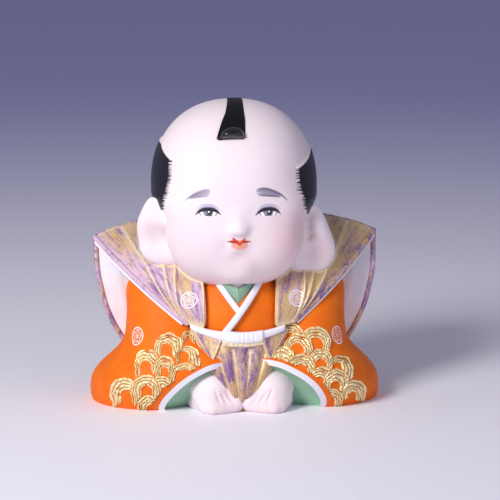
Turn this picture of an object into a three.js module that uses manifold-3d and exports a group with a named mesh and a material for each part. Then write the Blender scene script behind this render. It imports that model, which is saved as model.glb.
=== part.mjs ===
// A Hakata doll: a kneeling figure in formal dress that bows with both hands on the floor.
// It is cast in fired clay as one piece, so the model is one closed body.
// Millimetres, +Z up. The figure faces -Y and stands on z = 0, with its origin under its middle.
import * as THREE from "three";
import { mergeVertices } from "three/addons/utils/BufferGeometryUtils.js";
import Module from "manifold-3d";

// Driving sizes
const height = 150;
const ventDiameter = 14;
const ventDepth = 8;
const ventSetback = 20;

// Facets that differ by less than this are merged
const fineness = 0.05;

// The carving is drawn on a grid of shares, and the drawing is this many shares tall
const drawnHeight = 148.18;
const share = height / drawnHeight;

const wasm = await Module();
wasm.setup();

const { PI, abs, acos, atan2, cos, exp, max, min, pow, sign, sin, sqrt } = Math;
const mix = (a, b, t) => a + (b - a) * t;
const clamp = (v) => min(max(v, 0), 1);
const ease = (from, to, v) => {
  const t = clamp((v - from) / (to - from));
  return t * t * (3 - 2 * t);
};
const bell = (distance, radius) => exp(-((distance / radius) ** 2));
const bulge = (v, power) => sign(v) * pow(abs(v), power);
const radians = (degrees) => (degrees * PI) / 180;

// A smooth curve through [place, value] pairs.
function through(...pairs) {
  const slopes = pairs.map((_, i) => {
    const before = pairs[max(i - 1, 0)];
    const after = pairs[min(i + 1, pairs.length - 1)];
    return (after[1] - before[1]) / (after[0] - before[0]);
  });
  return (at) => {
    let i = 0;
    while (i < pairs.length - 2 && at > pairs[i + 1][0]) i += 1;
    const span = pairs[i + 1][0] - pairs[i][0];
    const t = clamp((at - pairs[i][0]) / span);
    const pull = slopes[i] * span * (t - 2 * t * t + t * t * t);
    const push = slopes[i + 1] * span * (t * t * t - t * t);
    return mix(pairs[i][1], pairs[i + 1][1], t * t * (3 - 2 * t)) + pull + push;
  };
}

// A geometry in shares of the height becomes a solid in millimetres, with its faces pointing out.
function solidOf(geometry) {
  geometry.deleteAttribute("normal");
  geometry.deleteAttribute("uv");
  const merged = mergeVertices(geometry, 1e-4);
  const points = merged.getAttribute("position");
  const corners = [...merged.index.array];
  const [a, b, c] = [new THREE.Vector3(), new THREE.Vector3(), new THREE.Vector3()];
  const faces = [];
  let volume = 0;
  for (let i = 0; i < corners.length; i += 3) {
    const [p, q, r] = corners.slice(i, i + 3);
    if (p === q || q === r || r === p) continue;
    a.fromBufferAttribute(points, p);
    b.fromBufferAttribute(points, q);
    c.fromBufferAttribute(points, r);
    volume += a.dot(b.cross(c));
    faces.push([p, q, r]);
  }
  if (volume < 0) faces.forEach((face) => face.reverse());
  return new wasm.Manifold(
    new wasm.Mesh({
      numProp: 3,
      vertProperties: Float32Array.from(points.array, (v) => v * share),
      triVerts: Uint32Array.from(faces.flat()),
    }),
  );
}

// A ball whose points are placed by a function of t, from 0 at one pole to 1 at the other, and the
// angle about the line between the poles.
function ball(round, long, place) {
  const geometry = new THREE.SphereGeometry(1, round, long);
  const points = geometry.getAttribute("position");
  for (let i = 0; i < points.count; i += 1) {
    const t = acos(min(max(points.getY(i), -1), 1)) / PI;
    const atPole = t < 1e-6 || t > 1 - 1e-6;
    const angle = atPole ? 0 : atan2(points.getZ(i), points.getX(i));
    points.setXYZ(i, ...place(t, angle));
  }
  return solidOf(geometry);
}

// A body built up in levels: at each height, an outline that reaches side, front and back. A swell adds
// to the outline's reach in some directions.
function levels(round, long, { bottom, top, middleX, side, middleY, front, back, square = 1, swell }) {
  const rings = long - 2;
  return (mirror) =>
    ball(round, long, (t, angle) => {
      const ring = t * long - 1;
      const z = mix(top, bottom, clamp(ring / rings));
      const closed = ring < -0.5 || ring > rings + 0.5;
      if (closed) return [mirror * middleX(z), middleY(z), z];
      const reach = sin(angle) > 0 ? back(z) - middleY(z) : middleY(z) - front(z);
      const more = swell ? swell(z, angle) : 0;
      return [
        mirror * (middleX(z) + side(z) * bulge(cos(angle), square) + more * cos(angle)),
        middleY(z) + reach * bulge(sin(angle), square) + more * sin(angle),
        z,
      ];
    });
}

// A strap or rod along a path, with flat ends whose edges are eased. Its section is a soft oblong.
function strap(round, long, { path, across, out, halfWidth, halfThick, square = 0.7, end = 0.8 }) {
  const rings = long - 2;
  return ball(round, long, (at, angle) => {
    const ring = at * long - 1;
    const t = clamp(ring / rings);
    const closed = ring < -0.5 || ring > rings + 0.5;
    const full = closed ? 0 : t < 1e-6 || t > 1 - 1e-6 ? end : 1;
    const wide = halfWidth(t) * full * bulge(cos(angle), square);
    const thick = halfThick(t) * full * bulge(sin(angle), square);
    const [p, w, n] = [path(t), across(t), out(t)];
    return p.map((v, i) => v + w[i] * wide + n[i] * thick);
  });
}

// A sheet, from a function that places its outer face. Its thickness is a size or a function of s and t,
// and is taken along its own normals, or along one direction out of it where that is given.
function sheet(wide, long, thick, place, outward) {
  const geometry = new THREE.BoxGeometry(1, 1, 1, wide, long, 1);
  const points = geometry.getAttribute("position");
  const step = 1e-3;
  for (let i = 0; i < points.count; i += 1) {
    const [s, t, layer] = [points.getX(i) + 0.5, points.getY(i) + 0.5, points.getZ(i) + 0.5];
    const here = new THREE.Vector3(...place(s, t));
    const alongS = new THREE.Vector3(...place(s + step, t)).sub(here);
    const alongT = new THREE.Vector3(...place(s, t + step)).sub(here);
    const normal = outward ? new THREE.Vector3(...outward) : alongS.cross(alongT).normalize();
    const deep = typeof thick === "function" ? thick(s, t) : thick;
    here.addScaledVector(normal, -deep * (1 - layer));
    points.setXYZ(i, here.x, here.y, here.z);
  }
  return solidOf(geometry);
}

// A soft form round a middle point: each of its points is where a ray from the middle leaves a blend of
// balls and rods. A part is a line from one place to another with a radius at each end.
function blend(round, long, { middle, parts, soft, far }) {
  const inside = (x, y, z) => {
    let sum = 0;
    for (const [a, b, ra, rb] of parts) {
      const [dx, dy, dz] = [b[0] - a[0], b[1] - a[1], b[2] - a[2]];
      const run = dx * dx + dy * dy + dz * dz;
      const along = (x - a[0]) * dx + (y - a[1]) * dy + (z - a[2]) * dz;
      const t = run > 0 ? clamp(along / run) : 0;
      const away = Math.hypot(x - a[0] - dx * t, y - a[1] - dy * t, z - a[2] - dz * t);
      sum += exp((mix(ra, rb, t) - away) / soft);
    }
    return sum > 1;
  };
  return (mirror) =>
    ball(round, long, (t, angle) => {
      const d = [sin(PI * t) * cos(angle), sin(PI * t) * sin(angle), cos(PI * t)];
      const at = (reach) => middle.map((v, i) => v + d[i] * reach);
      let [near, beyond] = [0, far];
      for (let i = 0; i < 20; i += 1) {
        const half = (near + beyond) / 2;
        if (inside(...at(half))) near = half;
        else beyond = half;
      }
      const [x, y, z] = at(near);
      return [mirror * x, y, z];
    });
}

// The same form on both sides: side is 1 on the +X side and -1 on the other.
const pair = (form) => [form(1), form(-1)];

// The head: a wide, soft box of a ball that narrows to the cheeks, with the face pressed into it
const head = { x: -0.8, y: -8, z: 106, wide: 39.4, cheeks: 35.4, deep: 42.5, up: 41.3, down: 49 };
const headTurn = radians(-2.7);
const facePole = new THREE.Vector3(0, -1, -0.42).normalize();
// Each feature: x, y and z from the head's middle, the radius it spreads over, and how far it rises
const features = [
  [23, -30, -25, 14, 3.2],
  [0, -33, -40, 11, 2.4],
  [0, -42, -17.5, 3.7, 4],
  [2.9, -41, -19.5, 2.4, 1.2],
  [0, -42, -10, 4.5, 0.9],
  [0, -40, -23.5, 4.2, 1.1],
  [14.6, -38, -7.5, 7.5, -1.2],
  [14.6, -38, -8, 4.5, 0.9],
  [0, -38, -30, 5, -0.8],
  [14, -38, 12, 16, 0.9],
];
// The hair covers the sides and the back, up to a line that climbs over the temples, runs level beside the
// crown and climbs again at the back
const hairTop = (y) => 18.1 + 0.33 * min(y + 10, 0) + 0.6 * max(y - 10, 0);
const hairFront = (z) => -31 + 0.034 * (z + 0.5) ** 2 + 2.2 * max(-8 - z, 0);
const hairRise = 0.8;

function headPoint(direction) {
  const { x, y, z } = direction;
  const tall = z > 0 ? head.up : head.down;
  const n = mix(2.5, 2.25, ease(-0.2, 0.2, z));
  const wide = mix(head.wide, head.cheeks, ease(-0.06, -0.36, z));
  const sum = pow(abs(x / wide), n) + pow(abs(y / head.deep), n) + pow(abs(z / tall), n);
  let reach = pow(sum, -1 / n);
  const p = direction.clone().multiplyScalar(reach);
  for (const [fx, fy, fz, radius, rise] of features) {
    for (const mirror of fx ? [1, -1] : [1]) {
      const away = Math.hypot(p.x - mirror * fx, p.y - fy, p.z - fz);
      reach += rise * bell(away, radius);
    }
  }
  const inHair = min(hairTop(p.y) - p.z, p.y - hairFront(p.z), p.z + 38);
  reach += hairRise * ease(-0.6, 0.6, inHair);
  return direction.clone().multiplyScalar(reach);
}

// From the head's own frame to the doll's
function onHead(p) {
  const turned = p.clone().applyAxisAngle(new THREE.Vector3(0, 0, 1), headTurn);
  return [turned.x + head.x, turned.y + head.y, turned.z + head.z];
}

function headForm() {
  const tilt = new THREE.Quaternion().setFromUnitVectors(new THREE.Vector3(0, 0, 1), facePole);
  return ball(28, 18, (t, angle) => {
    const from = PI * pow(t, 1.3);
    const d = new THREE.Vector3(sin(from) * cos(angle), sin(from) * sin(angle), cos(from));
    return onHead(headPoint(d.applyQuaternion(tilt)));
  });
}

// The ears: long leaves with heavy lobes and a hollow beside the cheek
const ear = { x: 35, y: -13, z: -22.6, halfTall: 17.3, halfThick: 4.8 };
const earDrop = { 1: 2.1, [-1]: -2.1 };

function earForm(side) {
  return ball(12, 9, (t, angle) => {
    const c = cos(PI * t);
    const out = sin(PI * t) * cos(angle);
    const fore = sin(PI * t) * sin(angle);
    const wide = 11.6 - 5.5 * c + 1.2 * c * c;
    const hollow = 2.8 * bell(Math.hypot(out - 0.1, 0.6 * (c - 0.2)), 0.4) * clamp(fore * 2);
    const p = new THREE.Vector3(
      side * (ear.x + 1.2 * c + wide * out),
      ear.y - ear.halfThick * (1 - 0.25 * c) * fore + hollow + 1.5 * out,
      ear.z + ear.halfTall * c - earDrop[side],
    );
    return onHead(p);
  });
}

// The topknot: a flat tail of hair laid forward over the shaved crown, with a raised tip
const knot = { front: 37, back: 138 };
const knotSlant = through([0, -3.1], [0.5, 0.2], [1, 0.4]);
const knotHalfWidth = through([0, 6.9], [0.14, 6.2], [0.25, 4.7], [0.5, 3.7], [0.8, 3.8], [1, 5.5]);
const knotHalfThick = through(
  [0, 3.2], [0.1, 3.4], [0.16, 1.6], [0.3, 0.9], [0.5, 0.8], [0.85, 1.9], [1, 1.6],
);

function topknotForm() {
  const upFrom = (t) => radians(mix(knot.front, knot.back, t));
  return strap(8, 15, {
    path: (t) => {
      const d = new THREE.Vector3(0, -cos(upFrom(t)), sin(upFrom(t)));
      return onHead(headPoint(d).setX(knotSlant(t)));
    },
    across: () => [1, 0, 0],
    out: (t) => [0, -cos(upFrom(t)), sin(upFrom(t))],
    halfWidth: knotHalfWidth,
    halfThick: knotHalfThick,
    end: 0.85,
  });
}

// The body under the dress, from the floor to the nape. Low down its back is the skirt, in broad folds.
const backReach = through(
  [-3, 49], [10, 50], [22, 48.5], [32, 46], [45, 44.5], [60, 40], [74, 33], [84, 27],
);
const skirtTop = 35;
const skirtFolds = 5;

const bodyForm = levels(40, 8, {
  bottom: -3,
  top: 87,
  middleX: () => 0,
  side: through([-3, 51], [10, 53], [22, 51], [29, 46], [36, 38], [48, 36], [60, 36], [72, 33], [87, 25]),
  middleY: () => 6,
  front: through([-3, -30], [20, -34], [40, -29], [55, -25], [68, -16], [87, -6]),
  back: backReach,
  square: 0.86,
  swell: (z, angle) => {
    const low = ease(skirtTop + 3, skirtTop - 3, z);
    const fold = pow(abs(sin(skirtFolds * angle)), 0.6);
    return 2.4 * fold * low * clamp(sin(angle) * 4);
  },
});

// The back of the stiff shoulder piece: one sheet that lies round the back, bends out past the arms on
// both sides, and is filled in between them
const wingEdge = through(
  [26, 53.2], [30.5, 56.8], [37, 60.6], [45, 64.1], [54, 66.5], [62.5, 68.3], [78, 70],
);
const wingEdgeY = through([26, -1], [36, 0], [48, 0.5], [60, 2], [70, 5.5], [78, 8.5]);
const ridgeZ = through([0, 89], [0.4, 87.8], [0.55, 86.3], [0.7, 84.5], [0.85, 82], [1, 78]);
const wingShift = 0.9;
const wingLean = 0.9;
const wingThick = 2.6;
const wingBend = (out) => ease(0.2, 0.86, out);
const middleThick = 16;
const wingFoot = through([0, 36], [0.4, 35], [0.75, 31], [1, 26]);

// A point on the back sheet's outer face: out runs from -1 to 1 across it, t from its foot to the ridge
function wingBackPoint(out, t) {
  const z = mix(wingFoot(abs(out)), ridgeZ(abs(out)), t);
  const edge = wingEdge(min(z, 78));
  const y = mix(backReach(z) + 0.6, wingEdgeY(z), wingBend(abs(out)));
  return [out * edge + wingShift, y, z + wingLean * out * t];
}

function wingBackForm() {
  const thick = (s, t) => {
    const filled = (1 - ease(0.55, 0.82, abs(1 - 2 * s))) * (1 - ease(0.5, 0.9, t));
    return mix(wingThick, middleThick, filled);
  };
  return sheet(20, 6, thick, (s, t) => wingBackPoint(1 - 2 * s, t), [0, 1, 0]);
}

// The front of the shoulder piece: a fan of pleats from the belt up to the ridge of the shoulder
const pleats = [0.2, 0.42, 0.63];
const pleatRise = 1.3;
const edgeThick = 8;

function wingFrontPoint(side, s, t) {
  const foot = [mix(17.8, 25.5, s), mix(-37.5, -34.5, s), mix(40.6, 42.2, s)];
  const spread = mix(0.28, 1, s);
  const crest = wingBackPoint(side * spread, 1);
  const belly = pow(sin(PI * clamp(t)), 0.85);
  const fold = pleats.reduce((sum, at) => sum + bell(s - at, 0.05), 0);
  const x = mix(foot[0], side * crest[0], t) + mix(-0.6, 1.2, s) * belly;
  const y = mix(foot[1], crest[1] - wingThick, t) - (mix(20, 5.5, s) + pleatRise * fold) * belly;
  const z = mix(foot[2], crest[2], t) - mix(-1, 0, s) * belly;
  return [side * x, y, z];
}

function wingFrontForm(side) {
  const out = (s) => (side > 0 ? s : 1 - s);
  const thick = (s, t) => mix(wingThick, edgeThick, ease(0.5, 1, out(s)) * sin(PI * clamp(t)));
  return sheet(13, 5, thick, (s, t) => wingFrontPoint(side, out(s), t));
}

// The chest between the shoulder pieces, and what is tucked round it: collars, belt and knot
const chest = { y: -12, z: 42, wide: 30, deep: 27.5, tall: 28 };

function chestForm() {
  return ball(18, 12, (t, angle) => [
    chest.wide * sin(PI * t) * cos(angle),
    chest.y + chest.deep * sin(PI * t) * sin(angle),
    chest.z + chest.tall * cos(PI * t),
  ]);
}

function chestPoint(x, z) {
  const rest = 1 - (x / chest.wide) ** 2 - ((z - chest.z) / chest.tall) ** 2;
  return [x, chest.y - chest.deep * sqrt(max(rest, 0)), z];
}

// A band of cloth laid on the chest from one place to another, each given as x and z
function chestBand(from, to, halfWidth, halfThick, lift = 0) {
  const run = Math.hypot(to[0] - from[0], to[1] - from[1]);
  const [dx, dz] = [(to[0] - from[0]) / run, (to[1] - from[1]) / run];
  return strap(6, 6, {
    path: (t) => {
      const [x, y, z] = chestPoint(mix(from[0], to[0], t), mix(from[1], to[1], t));
      return [x, y - lift, z];
    },
    across: () => [-dz, 0, dx],
    out: () => [0, -1, 0],
    halfWidth,
    halfThick: () => halfThick,
  });
}

function collarForms() {
  return [
    chestBand([-6.6, 64], [0.6, 51], through([0, 6.6], [1, 2]), 1.4),
    chestBand([7.2, 64], [0.6, 51], through([0, 6.6], [1, 2]), 1.4),
    chestBand([-12.4, 64], [-1.2, 49.5], () => 1.5, 1.3, 0.4),
    chestBand([11.4, 64], [-8.8, 37.4], () => 1.5, 1.3, 0.8),
  ];
}

const beltY = (x) => -41.2 + 6.6 * (x / 24) ** 2;
const beltZ = (x) => 36.8 + 4.4 * (x / 24) ** 2;

function beltForm() {
  const across = (t) => mix(-24, 21.6, t);
  return strap(8, 11, {
    path: (t) => [across(t), beltY(across(t)), beltZ(across(t))],
    across: () => [0, 0, 1],
    out: () => [0, -1, 0],
    halfWidth: through([0, 1.4], [0.5, 2.4], [1, 1.4]),
    halfThick: () => 1.6,
  });
}

function beltKnotForm() {
  const across = (t) => mix(-8.2, 9, t);
  return strap(8, 7, {
    path: (t) => [across(t) + 1.2, beltY(across(t)) - 1, beltZ(across(t))],
    across: () => [0, 0, 1],
    out: () => [0, -1, 0],
    halfWidth: () => 2.8,
    halfThick: () => 1.9,
    end: 0.9,
  });
}

// The front of the divided skirt: pleats that run together down to the floor between the hands
const skirtPleats = 5;
const skirtReach = through([-3, -36], [4, -40], [12, -44], [20, -44.5], [30, -41.5], [39, -37.5]);

function skirtFrontForm() {
  return sheet(3 * skirtPleats, 3, 14, (s, t) => {
    const q = 2 * s - 1;
    const z = mix(-3, 39, t);
    const fold = pow(abs(sin(PI * skirtPleats * s)), 0.6);
    return [q * mix(3, 24, clamp((z + 3) / 42)), skirtReach(z) + 5 * q * q - 1.9 * fold, z];
  }, [0, -1, 0]);
}

// The lap, which fills the body out behind the skirt and between the sleeves
const lapForm = levels(14, 7, {
  bottom: -3,
  top: 50,
  middleX: () => 0,
  side: through([-3, 19], [10, 22], [25, 28], [40, 26], [50, 16]),
  middleY: () => -18,
  front: through([-3, -35.5], [8, -38.5], [25, -41], [40, -38], [50, -30]),
  back: () => -4,
});

// The folded corners of the skirt, under the belt's ends
function skirtCornerForm(side) {
  return sheet(2, 2, 3, (s, t) => {
    const u = side > 0 ? s : 1 - s;
    const x = mix(mix(13.6, 15.6, u), mix(9.5, 23.2, u), t);
    const y = mix(mix(-43, -41.5, u), mix(-41.4, -35.4, u), t);
    return [side * x, y, mix(mix(26.5, 27.5, u), mix(35.5, 40, u), t)];
  });
}

// The stiff board at the back of the waist
function backBoardForm() {
  return sheet(4, 2, 5, (s, t) => {
    const z = mix(29, 43, t);
    const x = (1 - 2 * s) * mix(17, 12.5, t);
    return [x, backReach(z) + 5.2 - 0.005 * x * x, z];
  });
}

// The cord that runs from the board round the waist
const waistCordLevel = 40;

function waistCordForm() {
  const out = (t) => mix(0.62, -0.62, t);
  return strap(6, 11, {
    path: (t) => [wingBackPoint(out(t), 0.07)[0], wingBackPoint(out(t), 0.07)[1] + 2, waistCordLevel],
    across: () => [0, 0, 1],
    out: (t) => new THREE.Vector3(1.3 * out(t), 1, 0).normalize().toArray(),
    halfWidth: () => 2,
    halfThick: () => 1.8,
  });
}

// The collar round the nape
function napeCollarForm() {
  const bend = (t) => radians(mix(-72, 72, t));
  return strap(6, 10, {
    path: (t) => [31 * sin(bend(t)), 1.5 + 28.5 * cos(bend(t)), 82.5 + 2.5 * sin(bend(t)) ** 2],
    across: () => [0, -0.45, 0.89],
    out: (t) => [sin(bend(t)), cos(bend(t)), 0.3],
    halfWidth: () => 3,
    halfThick: () => 1.9,
  });
}

// The sleeves: an upright arm that swells into a bag of cloth round the knee, and forward to a wide mouth
const sleeveMiddle = through([-3, 38], [12, 38], [30, 34], [70, 30]);
const sleeveMiddleY = through([-3, -3], [14, -3], [30, -8], [70, -8]);
const sleeveOut = through(
  [-3, 69.5], [0, 70.2], [3, 70.9], [7, 71], [12, 69.9], [17, 66.6], [22, 61.8], [27, 57.2], [32, 54.4],
  [45, 53.2], [57, 53], [64, 48], [70, 38],
);
const sleeveFront = through(
  [-3, -29], [0, -33], [4, -36.5], [9, -39.5], [15, -42], [20, -42.5], [26, -40], [33, -36], [42, -33],
  [56, -24], [70, -6],
);
const sleeveBack = through([-3, 20], [8, 24], [16, 22], [26, 11], [34, 6.5], [56, 5], [70, 2]);
const forearmReach = through(
  [-3, 4], [5, 6], [10, 9], [16, 13], [21, 15], [25, 16], [29, 11], [34, 5], [40, 1], [70, 0],
);
const forearmAngle = radians(-140);

const sleeveLevels = (shrink) =>
  levels(20, 13, {
    bottom: -3,
    top: 70,
    middleX: sleeveMiddle,
    side: (z) => sleeveOut(z) - sleeveMiddle(z) - shrink,
    middleY: sleeveMiddleY,
    front: (z) => sleeveFront(z) + shrink,
    back: (z) => sleeveBack(z) - shrink,
    swell: (z, angle) => {
      const off = angle - forearmAngle;
      return forearmReach(z) * bell(atan2(sin(off), cos(off)), 0.5);
    },
  });

// A block that holds everything on the far side of the sleeve's mouth, from a depth inside it
const mouthThrough = new THREE.Vector3(33, -42, 15);
const mouthFacing = new THREE.Vector3(-0.3, -0.73, -0.61).normalize();

function mouthCut(side, depth) {
  const size = 80;
  const block = new THREE.BoxGeometry(size, size, size).translate(0, 0, size / 2 - depth);
  const facing = mouthFacing.clone();
  const middle = mouthThrough.clone();
  facing.x *= side;
  middle.x *= side;
  block.applyQuaternion(new THREE.Quaternion().setFromUnitVectors(new THREE.Vector3(0, 0, 1), facing));
  return solidOf(block.translate(...middle));
}

const hemWide = 2.4;
const hemDeep = 2.5;

function sleeveForm(side) {
  const pocket = sleeveLevels(hemWide)(side).intersect(mouthCut(side, hemDeep));
  return sleeveLevels(0)(side).subtract(mouthCut(side, 0)).subtract(pocket);
}

// The hands: closed hands that lean on the floor and meet a little to one side of the middle
const handShift = 1;
const knuckles = [[18.2, -43.2], [14.4, -45.2], [10.6, -45.8], [7, -45.2]];

const handForm = blend(22, 14, {
  middle: [14, -37, 8],
  soft: 1.6,
  far: 40,
  parts: [
    [[19, -27, 13], [15.4, -36.5, 10.6], 9.6, 8.4],
    [[19.2, -25, 3.5], [18.6, -33.5, 3], 7.2, 6.8],
    [[15, -37.5, 4], [6, -41, 3.5], 5.6, 4.2],
    [[8, -36, 9], [3.6, -42, 4.5], 4, 3.2],
    ...knuckles.map(([x, y]) => [[x + 3.6, y + 8.5, 11.5], [x, y, 2.4], 2.2, 1.6]),
  ],
});

// The vent that the firing needs, in the underside behind the middle
function ventCut() {
  const tall = 2 * ventDepth;
  const hole = new THREE.CylinderGeometry(ventDiameter / 2, ventDiameter / 2, tall, 32);
  hole.rotateX(PI / 2).translate(0, ventSetback, 0);
  return solidOf(hole.scale(1 / share, 1 / share, 1 / share));
}

// Everything below the floor is cut away
function floorCut() {
  const size = 3 * height;
  const block = new THREE.BoxGeometry(size, size, size).translate(0, 0, -size / 2);
  return solidOf(block.scale(1 / share, 1 / share, 1 / share));
}

function join(forms) {
  return forms.reduce((whole, form) => whole.add(form));
}

const solid = join([
  headForm(),
  ...pair(earForm),
  topknotForm(),
  bodyForm(1),
  wingBackForm(),
  ...pair(wingFrontForm),
  chestForm(),
  ...collarForms(),
  beltForm(),
  beltKnotForm(),
  lapForm(1),
  skirtFrontForm(),
  ...pair(skirtCornerForm),
  backBoardForm(),
  waistCordForm(),
  napeCollarForm(),
  ...pair(sleeveForm),
  ...pair(handForm).map((hand) => hand.translate([handShift * share, 0, 0])),
])
  .subtract(floorCut())
  .subtract(ventCut())
  .simplify(fineness);

function geometryOf(made) {
  const { vertProperties, triVerts } = made.getMesh();
  const geometry = new THREE.BufferGeometry();
  geometry.setAttribute("position", new THREE.BufferAttribute(vertProperties, 3));
  geometry.setIndex(new THREE.BufferAttribute(triVerts, 1));
  geometry.computeVertexNormals();
  return geometry;
}

const clay = new THREE.MeshStandardMaterial({ color: 0xf2e6e4, roughness: 0.75, metalness: 0 });
const doll = new THREE.Mesh(geometryOf(solid), clay);
doll.name = "doll";

const group = new THREE.Group();
group.add(doll);
export default group;
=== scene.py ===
# A Hakata doll of fired and painted clay: a kneeling figure in formal dress, with both hands on the floor.
# The part's own frame is used: metres, the figure faces -Y, and it stands on z = 0.
from math import acos, atan2, copysign, cos, exp, hypot, pi, radians, sin

import bmesh
import bpy
from mathutils import Matrix, Vector, noise
from mathutils.bvhtree import BVHTree


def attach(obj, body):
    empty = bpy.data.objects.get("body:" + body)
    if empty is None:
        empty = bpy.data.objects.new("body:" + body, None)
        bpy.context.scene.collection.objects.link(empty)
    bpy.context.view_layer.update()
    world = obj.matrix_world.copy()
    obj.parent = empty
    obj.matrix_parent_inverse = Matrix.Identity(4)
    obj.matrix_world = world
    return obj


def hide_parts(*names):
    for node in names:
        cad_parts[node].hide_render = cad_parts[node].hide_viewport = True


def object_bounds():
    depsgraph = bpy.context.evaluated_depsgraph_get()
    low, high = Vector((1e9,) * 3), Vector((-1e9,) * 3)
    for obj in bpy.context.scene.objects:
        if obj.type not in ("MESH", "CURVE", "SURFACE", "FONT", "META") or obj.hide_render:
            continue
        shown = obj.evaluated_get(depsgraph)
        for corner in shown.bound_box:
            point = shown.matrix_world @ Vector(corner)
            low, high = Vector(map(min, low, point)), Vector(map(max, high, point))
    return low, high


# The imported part. It is one cast body, and its carving is drawn in shares of its height: the drawing is
# 148.18 shares tall, so every size of a piece below is in shares and grows with the part.
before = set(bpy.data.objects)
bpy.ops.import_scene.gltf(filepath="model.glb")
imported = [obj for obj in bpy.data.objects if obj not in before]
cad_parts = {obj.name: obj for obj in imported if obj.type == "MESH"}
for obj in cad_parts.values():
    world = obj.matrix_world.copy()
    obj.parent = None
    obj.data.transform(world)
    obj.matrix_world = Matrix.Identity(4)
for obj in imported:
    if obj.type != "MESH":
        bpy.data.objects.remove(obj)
cad_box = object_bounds()
DRAWN_HEIGHT = 148.18
share = (cad_box[1].z - cad_box[0].z) / DRAWN_HEIGHT
CAD_NODE = "doll"

# The camera stands where the photograph's did: a little to the doll's right, and a little above it.
CAMERA_AZIMUTH = radians(-5)
CAMERA_ELEVATION = radians(10)
CAMERA_AWAY = 1400 * share
CAMERA_LENS = 205.6
SENSOR_WIDTH = 36
# It looks at a place this high up, and this far aside, in shares.
AIM_HEIGHT = 72
AIM_ASIDE = 7.8
aside = Vector((cos(CAMERA_AZIMUTH), sin(CAMERA_AZIMUTH), 0))
towards_camera = Vector((
    sin(CAMERA_AZIMUTH) * cos(CAMERA_ELEVATION),
    -cos(CAMERA_AZIMUTH) * cos(CAMERA_ELEVATION),
    sin(CAMERA_ELEVATION),
))
upwards = towards_camera.cross(aside)
looked_at = Vector((0, 0, AIM_HEIGHT * share)) + aside * AIM_ASIDE * share
camera = bpy.data.objects.new("camera", bpy.data.cameras.new("camera"))
camera.data.lens = CAMERA_LENS
camera.data.sensor_width = SENSOR_WIDTH
camera.data.clip_start = 0.05
camera.data.clip_end = 50
camera.location = looked_at + towards_camera * CAMERA_AWAY
camera.rotation_euler = towards_camera.to_track_quat("Z", "Y").to_euler()
bpy.context.scene.collection.objects.link(camera)
bpy.context.scene.camera = camera
bpy.context.scene.view_settings.view_transform = "Standard"


# The studio: a soft lamp high on the left, a wider and weaker one on the right, and a pale surround. Both
# lamps are aimed at the middle of the figure.
LAMP_AIM = Vector((0, 0, 0.07))


def soft_lamp(name, place, size, power, colour):
    lamp = bpy.data.objects.new(name, bpy.data.lights.new(name, "AREA"))
    lamp.data.shape = "DISK"
    lamp.data.size = size
    lamp.data.energy = power
    lamp.data.color = colour
    lamp.location = place
    lamp.rotation_euler = (Vector(place) - LAMP_AIM).to_track_quat("Z", "Y").to_euler()
    bpy.context.scene.collection.objects.link(lamp)


soft_lamp("key_lamp", (-0.75, -0.85, 0.75), 0.5, 15.2, (1.0, 0.975, 0.95))
soft_lamp("fill_lamp", (0.9, -0.9, 0.5), 0.9, 2.1, (0.93, 0.92, 1.0))

world = bpy.data.worlds.new("studio")
world.use_nodes = True
surround = world.node_tree.nodes["Background"].inputs
surround["Color"].default_value = (0.50, 0.50, 0.62, 1)
surround["Strength"].default_value = 0.46
bpy.context.scene.world = world


# The floor is a pale card, with painted shade that darkens it softly far from the doll, where the lamps'
# light falls off. Its colours, like all those below, are given as they look on a screen, from 0 to 255.
def screen_colour(red, green, blue):
    linear = [((v / 255 + 0.055) / 1.055) ** 2.4 if v > 10 else v / 255 / 12.92 for v in (red, green, blue)]
    return (*linear, 1)


def node(tree, kind, inputs=(), **settings):
    """Adds a shader node. Its inputs, by name or place, take another node's output or a plain value."""
    made = tree.nodes.new("ShaderNode" + kind)
    for name, value in settings.items():
        setattr(made, name, value)
    for place, value in dict(inputs).items():
        if isinstance(value, bpy.types.NodeSocket):
            tree.links.new(value, made.inputs[place])
        else:
            made.inputs[place].default_value = value
    return made


def painted_over(tree, under, colour, mask):
    """One colour laid over another where the mask is 1."""
    return node(tree, "Mix", {0: mask, 6: under, 7: colour}, data_type="RGBA").outputs[2]


def new_paint(name, roughness, specular=0.5, coat=0.0, coat_roughness=0.1):
    """A material with one Principled shader, and its tree."""
    made = bpy.data.materials.new(name)
    made.use_nodes = True
    shader = made.node_tree.nodes["Principled BSDF"]
    shader.inputs["Roughness"].default_value = roughness
    shader.inputs["Specular IOR Level"].default_value = specular
    shader.inputs["Coat Weight"].default_value = coat
    shader.inputs["Coat Roughness"].default_value = coat_roughness
    return made, made.node_tree, shader


def lead_in(tree, shader, outputs):
    """Leads the outputs of nodes into the shader's inputs of these names."""
    for name, output in outputs.items():
        tree.links.new(output, shader.inputs[name])


FLOOR_HALF = 6.0
# The painted shade deepens between these two distances, in metres.
FADE_FROM = 0.03
FADE_TO = 1.4
FLOOR_NEAR = screen_colour(248, 246, 255)
FLOOR_FAR = screen_colour(172, 174, 222)
floor_mesh = bpy.data.meshes.new("floor")
bm = bmesh.new()
bmesh.ops.create_grid(bm, x_segments=1, y_segments=1, size=FLOOR_HALF)
bm.to_mesh(floor_mesh)
bm.free()
floor = bpy.data.objects.new("floor", floor_mesh)
bpy.context.scene.collection.objects.link(floor)
card, tree, shader = new_paint("pale_card", 0.6, specular=0.25)
place = node(tree, "TexCoord").outputs["Object"]
away = node(tree, "VectorMath", {0: place}, operation="LENGTH").outputs["Value"]
fade = {"Value": away, "From Min": FADE_FROM, "From Max": FADE_TO}
far = node(tree, "MapRange", fade, interpolation_type="SMOOTHSTEP").outputs[0]
lead_in(tree, shader, {"Base Color": painted_over(tree, FLOOR_NEAR, FLOOR_FAR, far)})
floor_mesh.materials.append(card)


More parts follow.
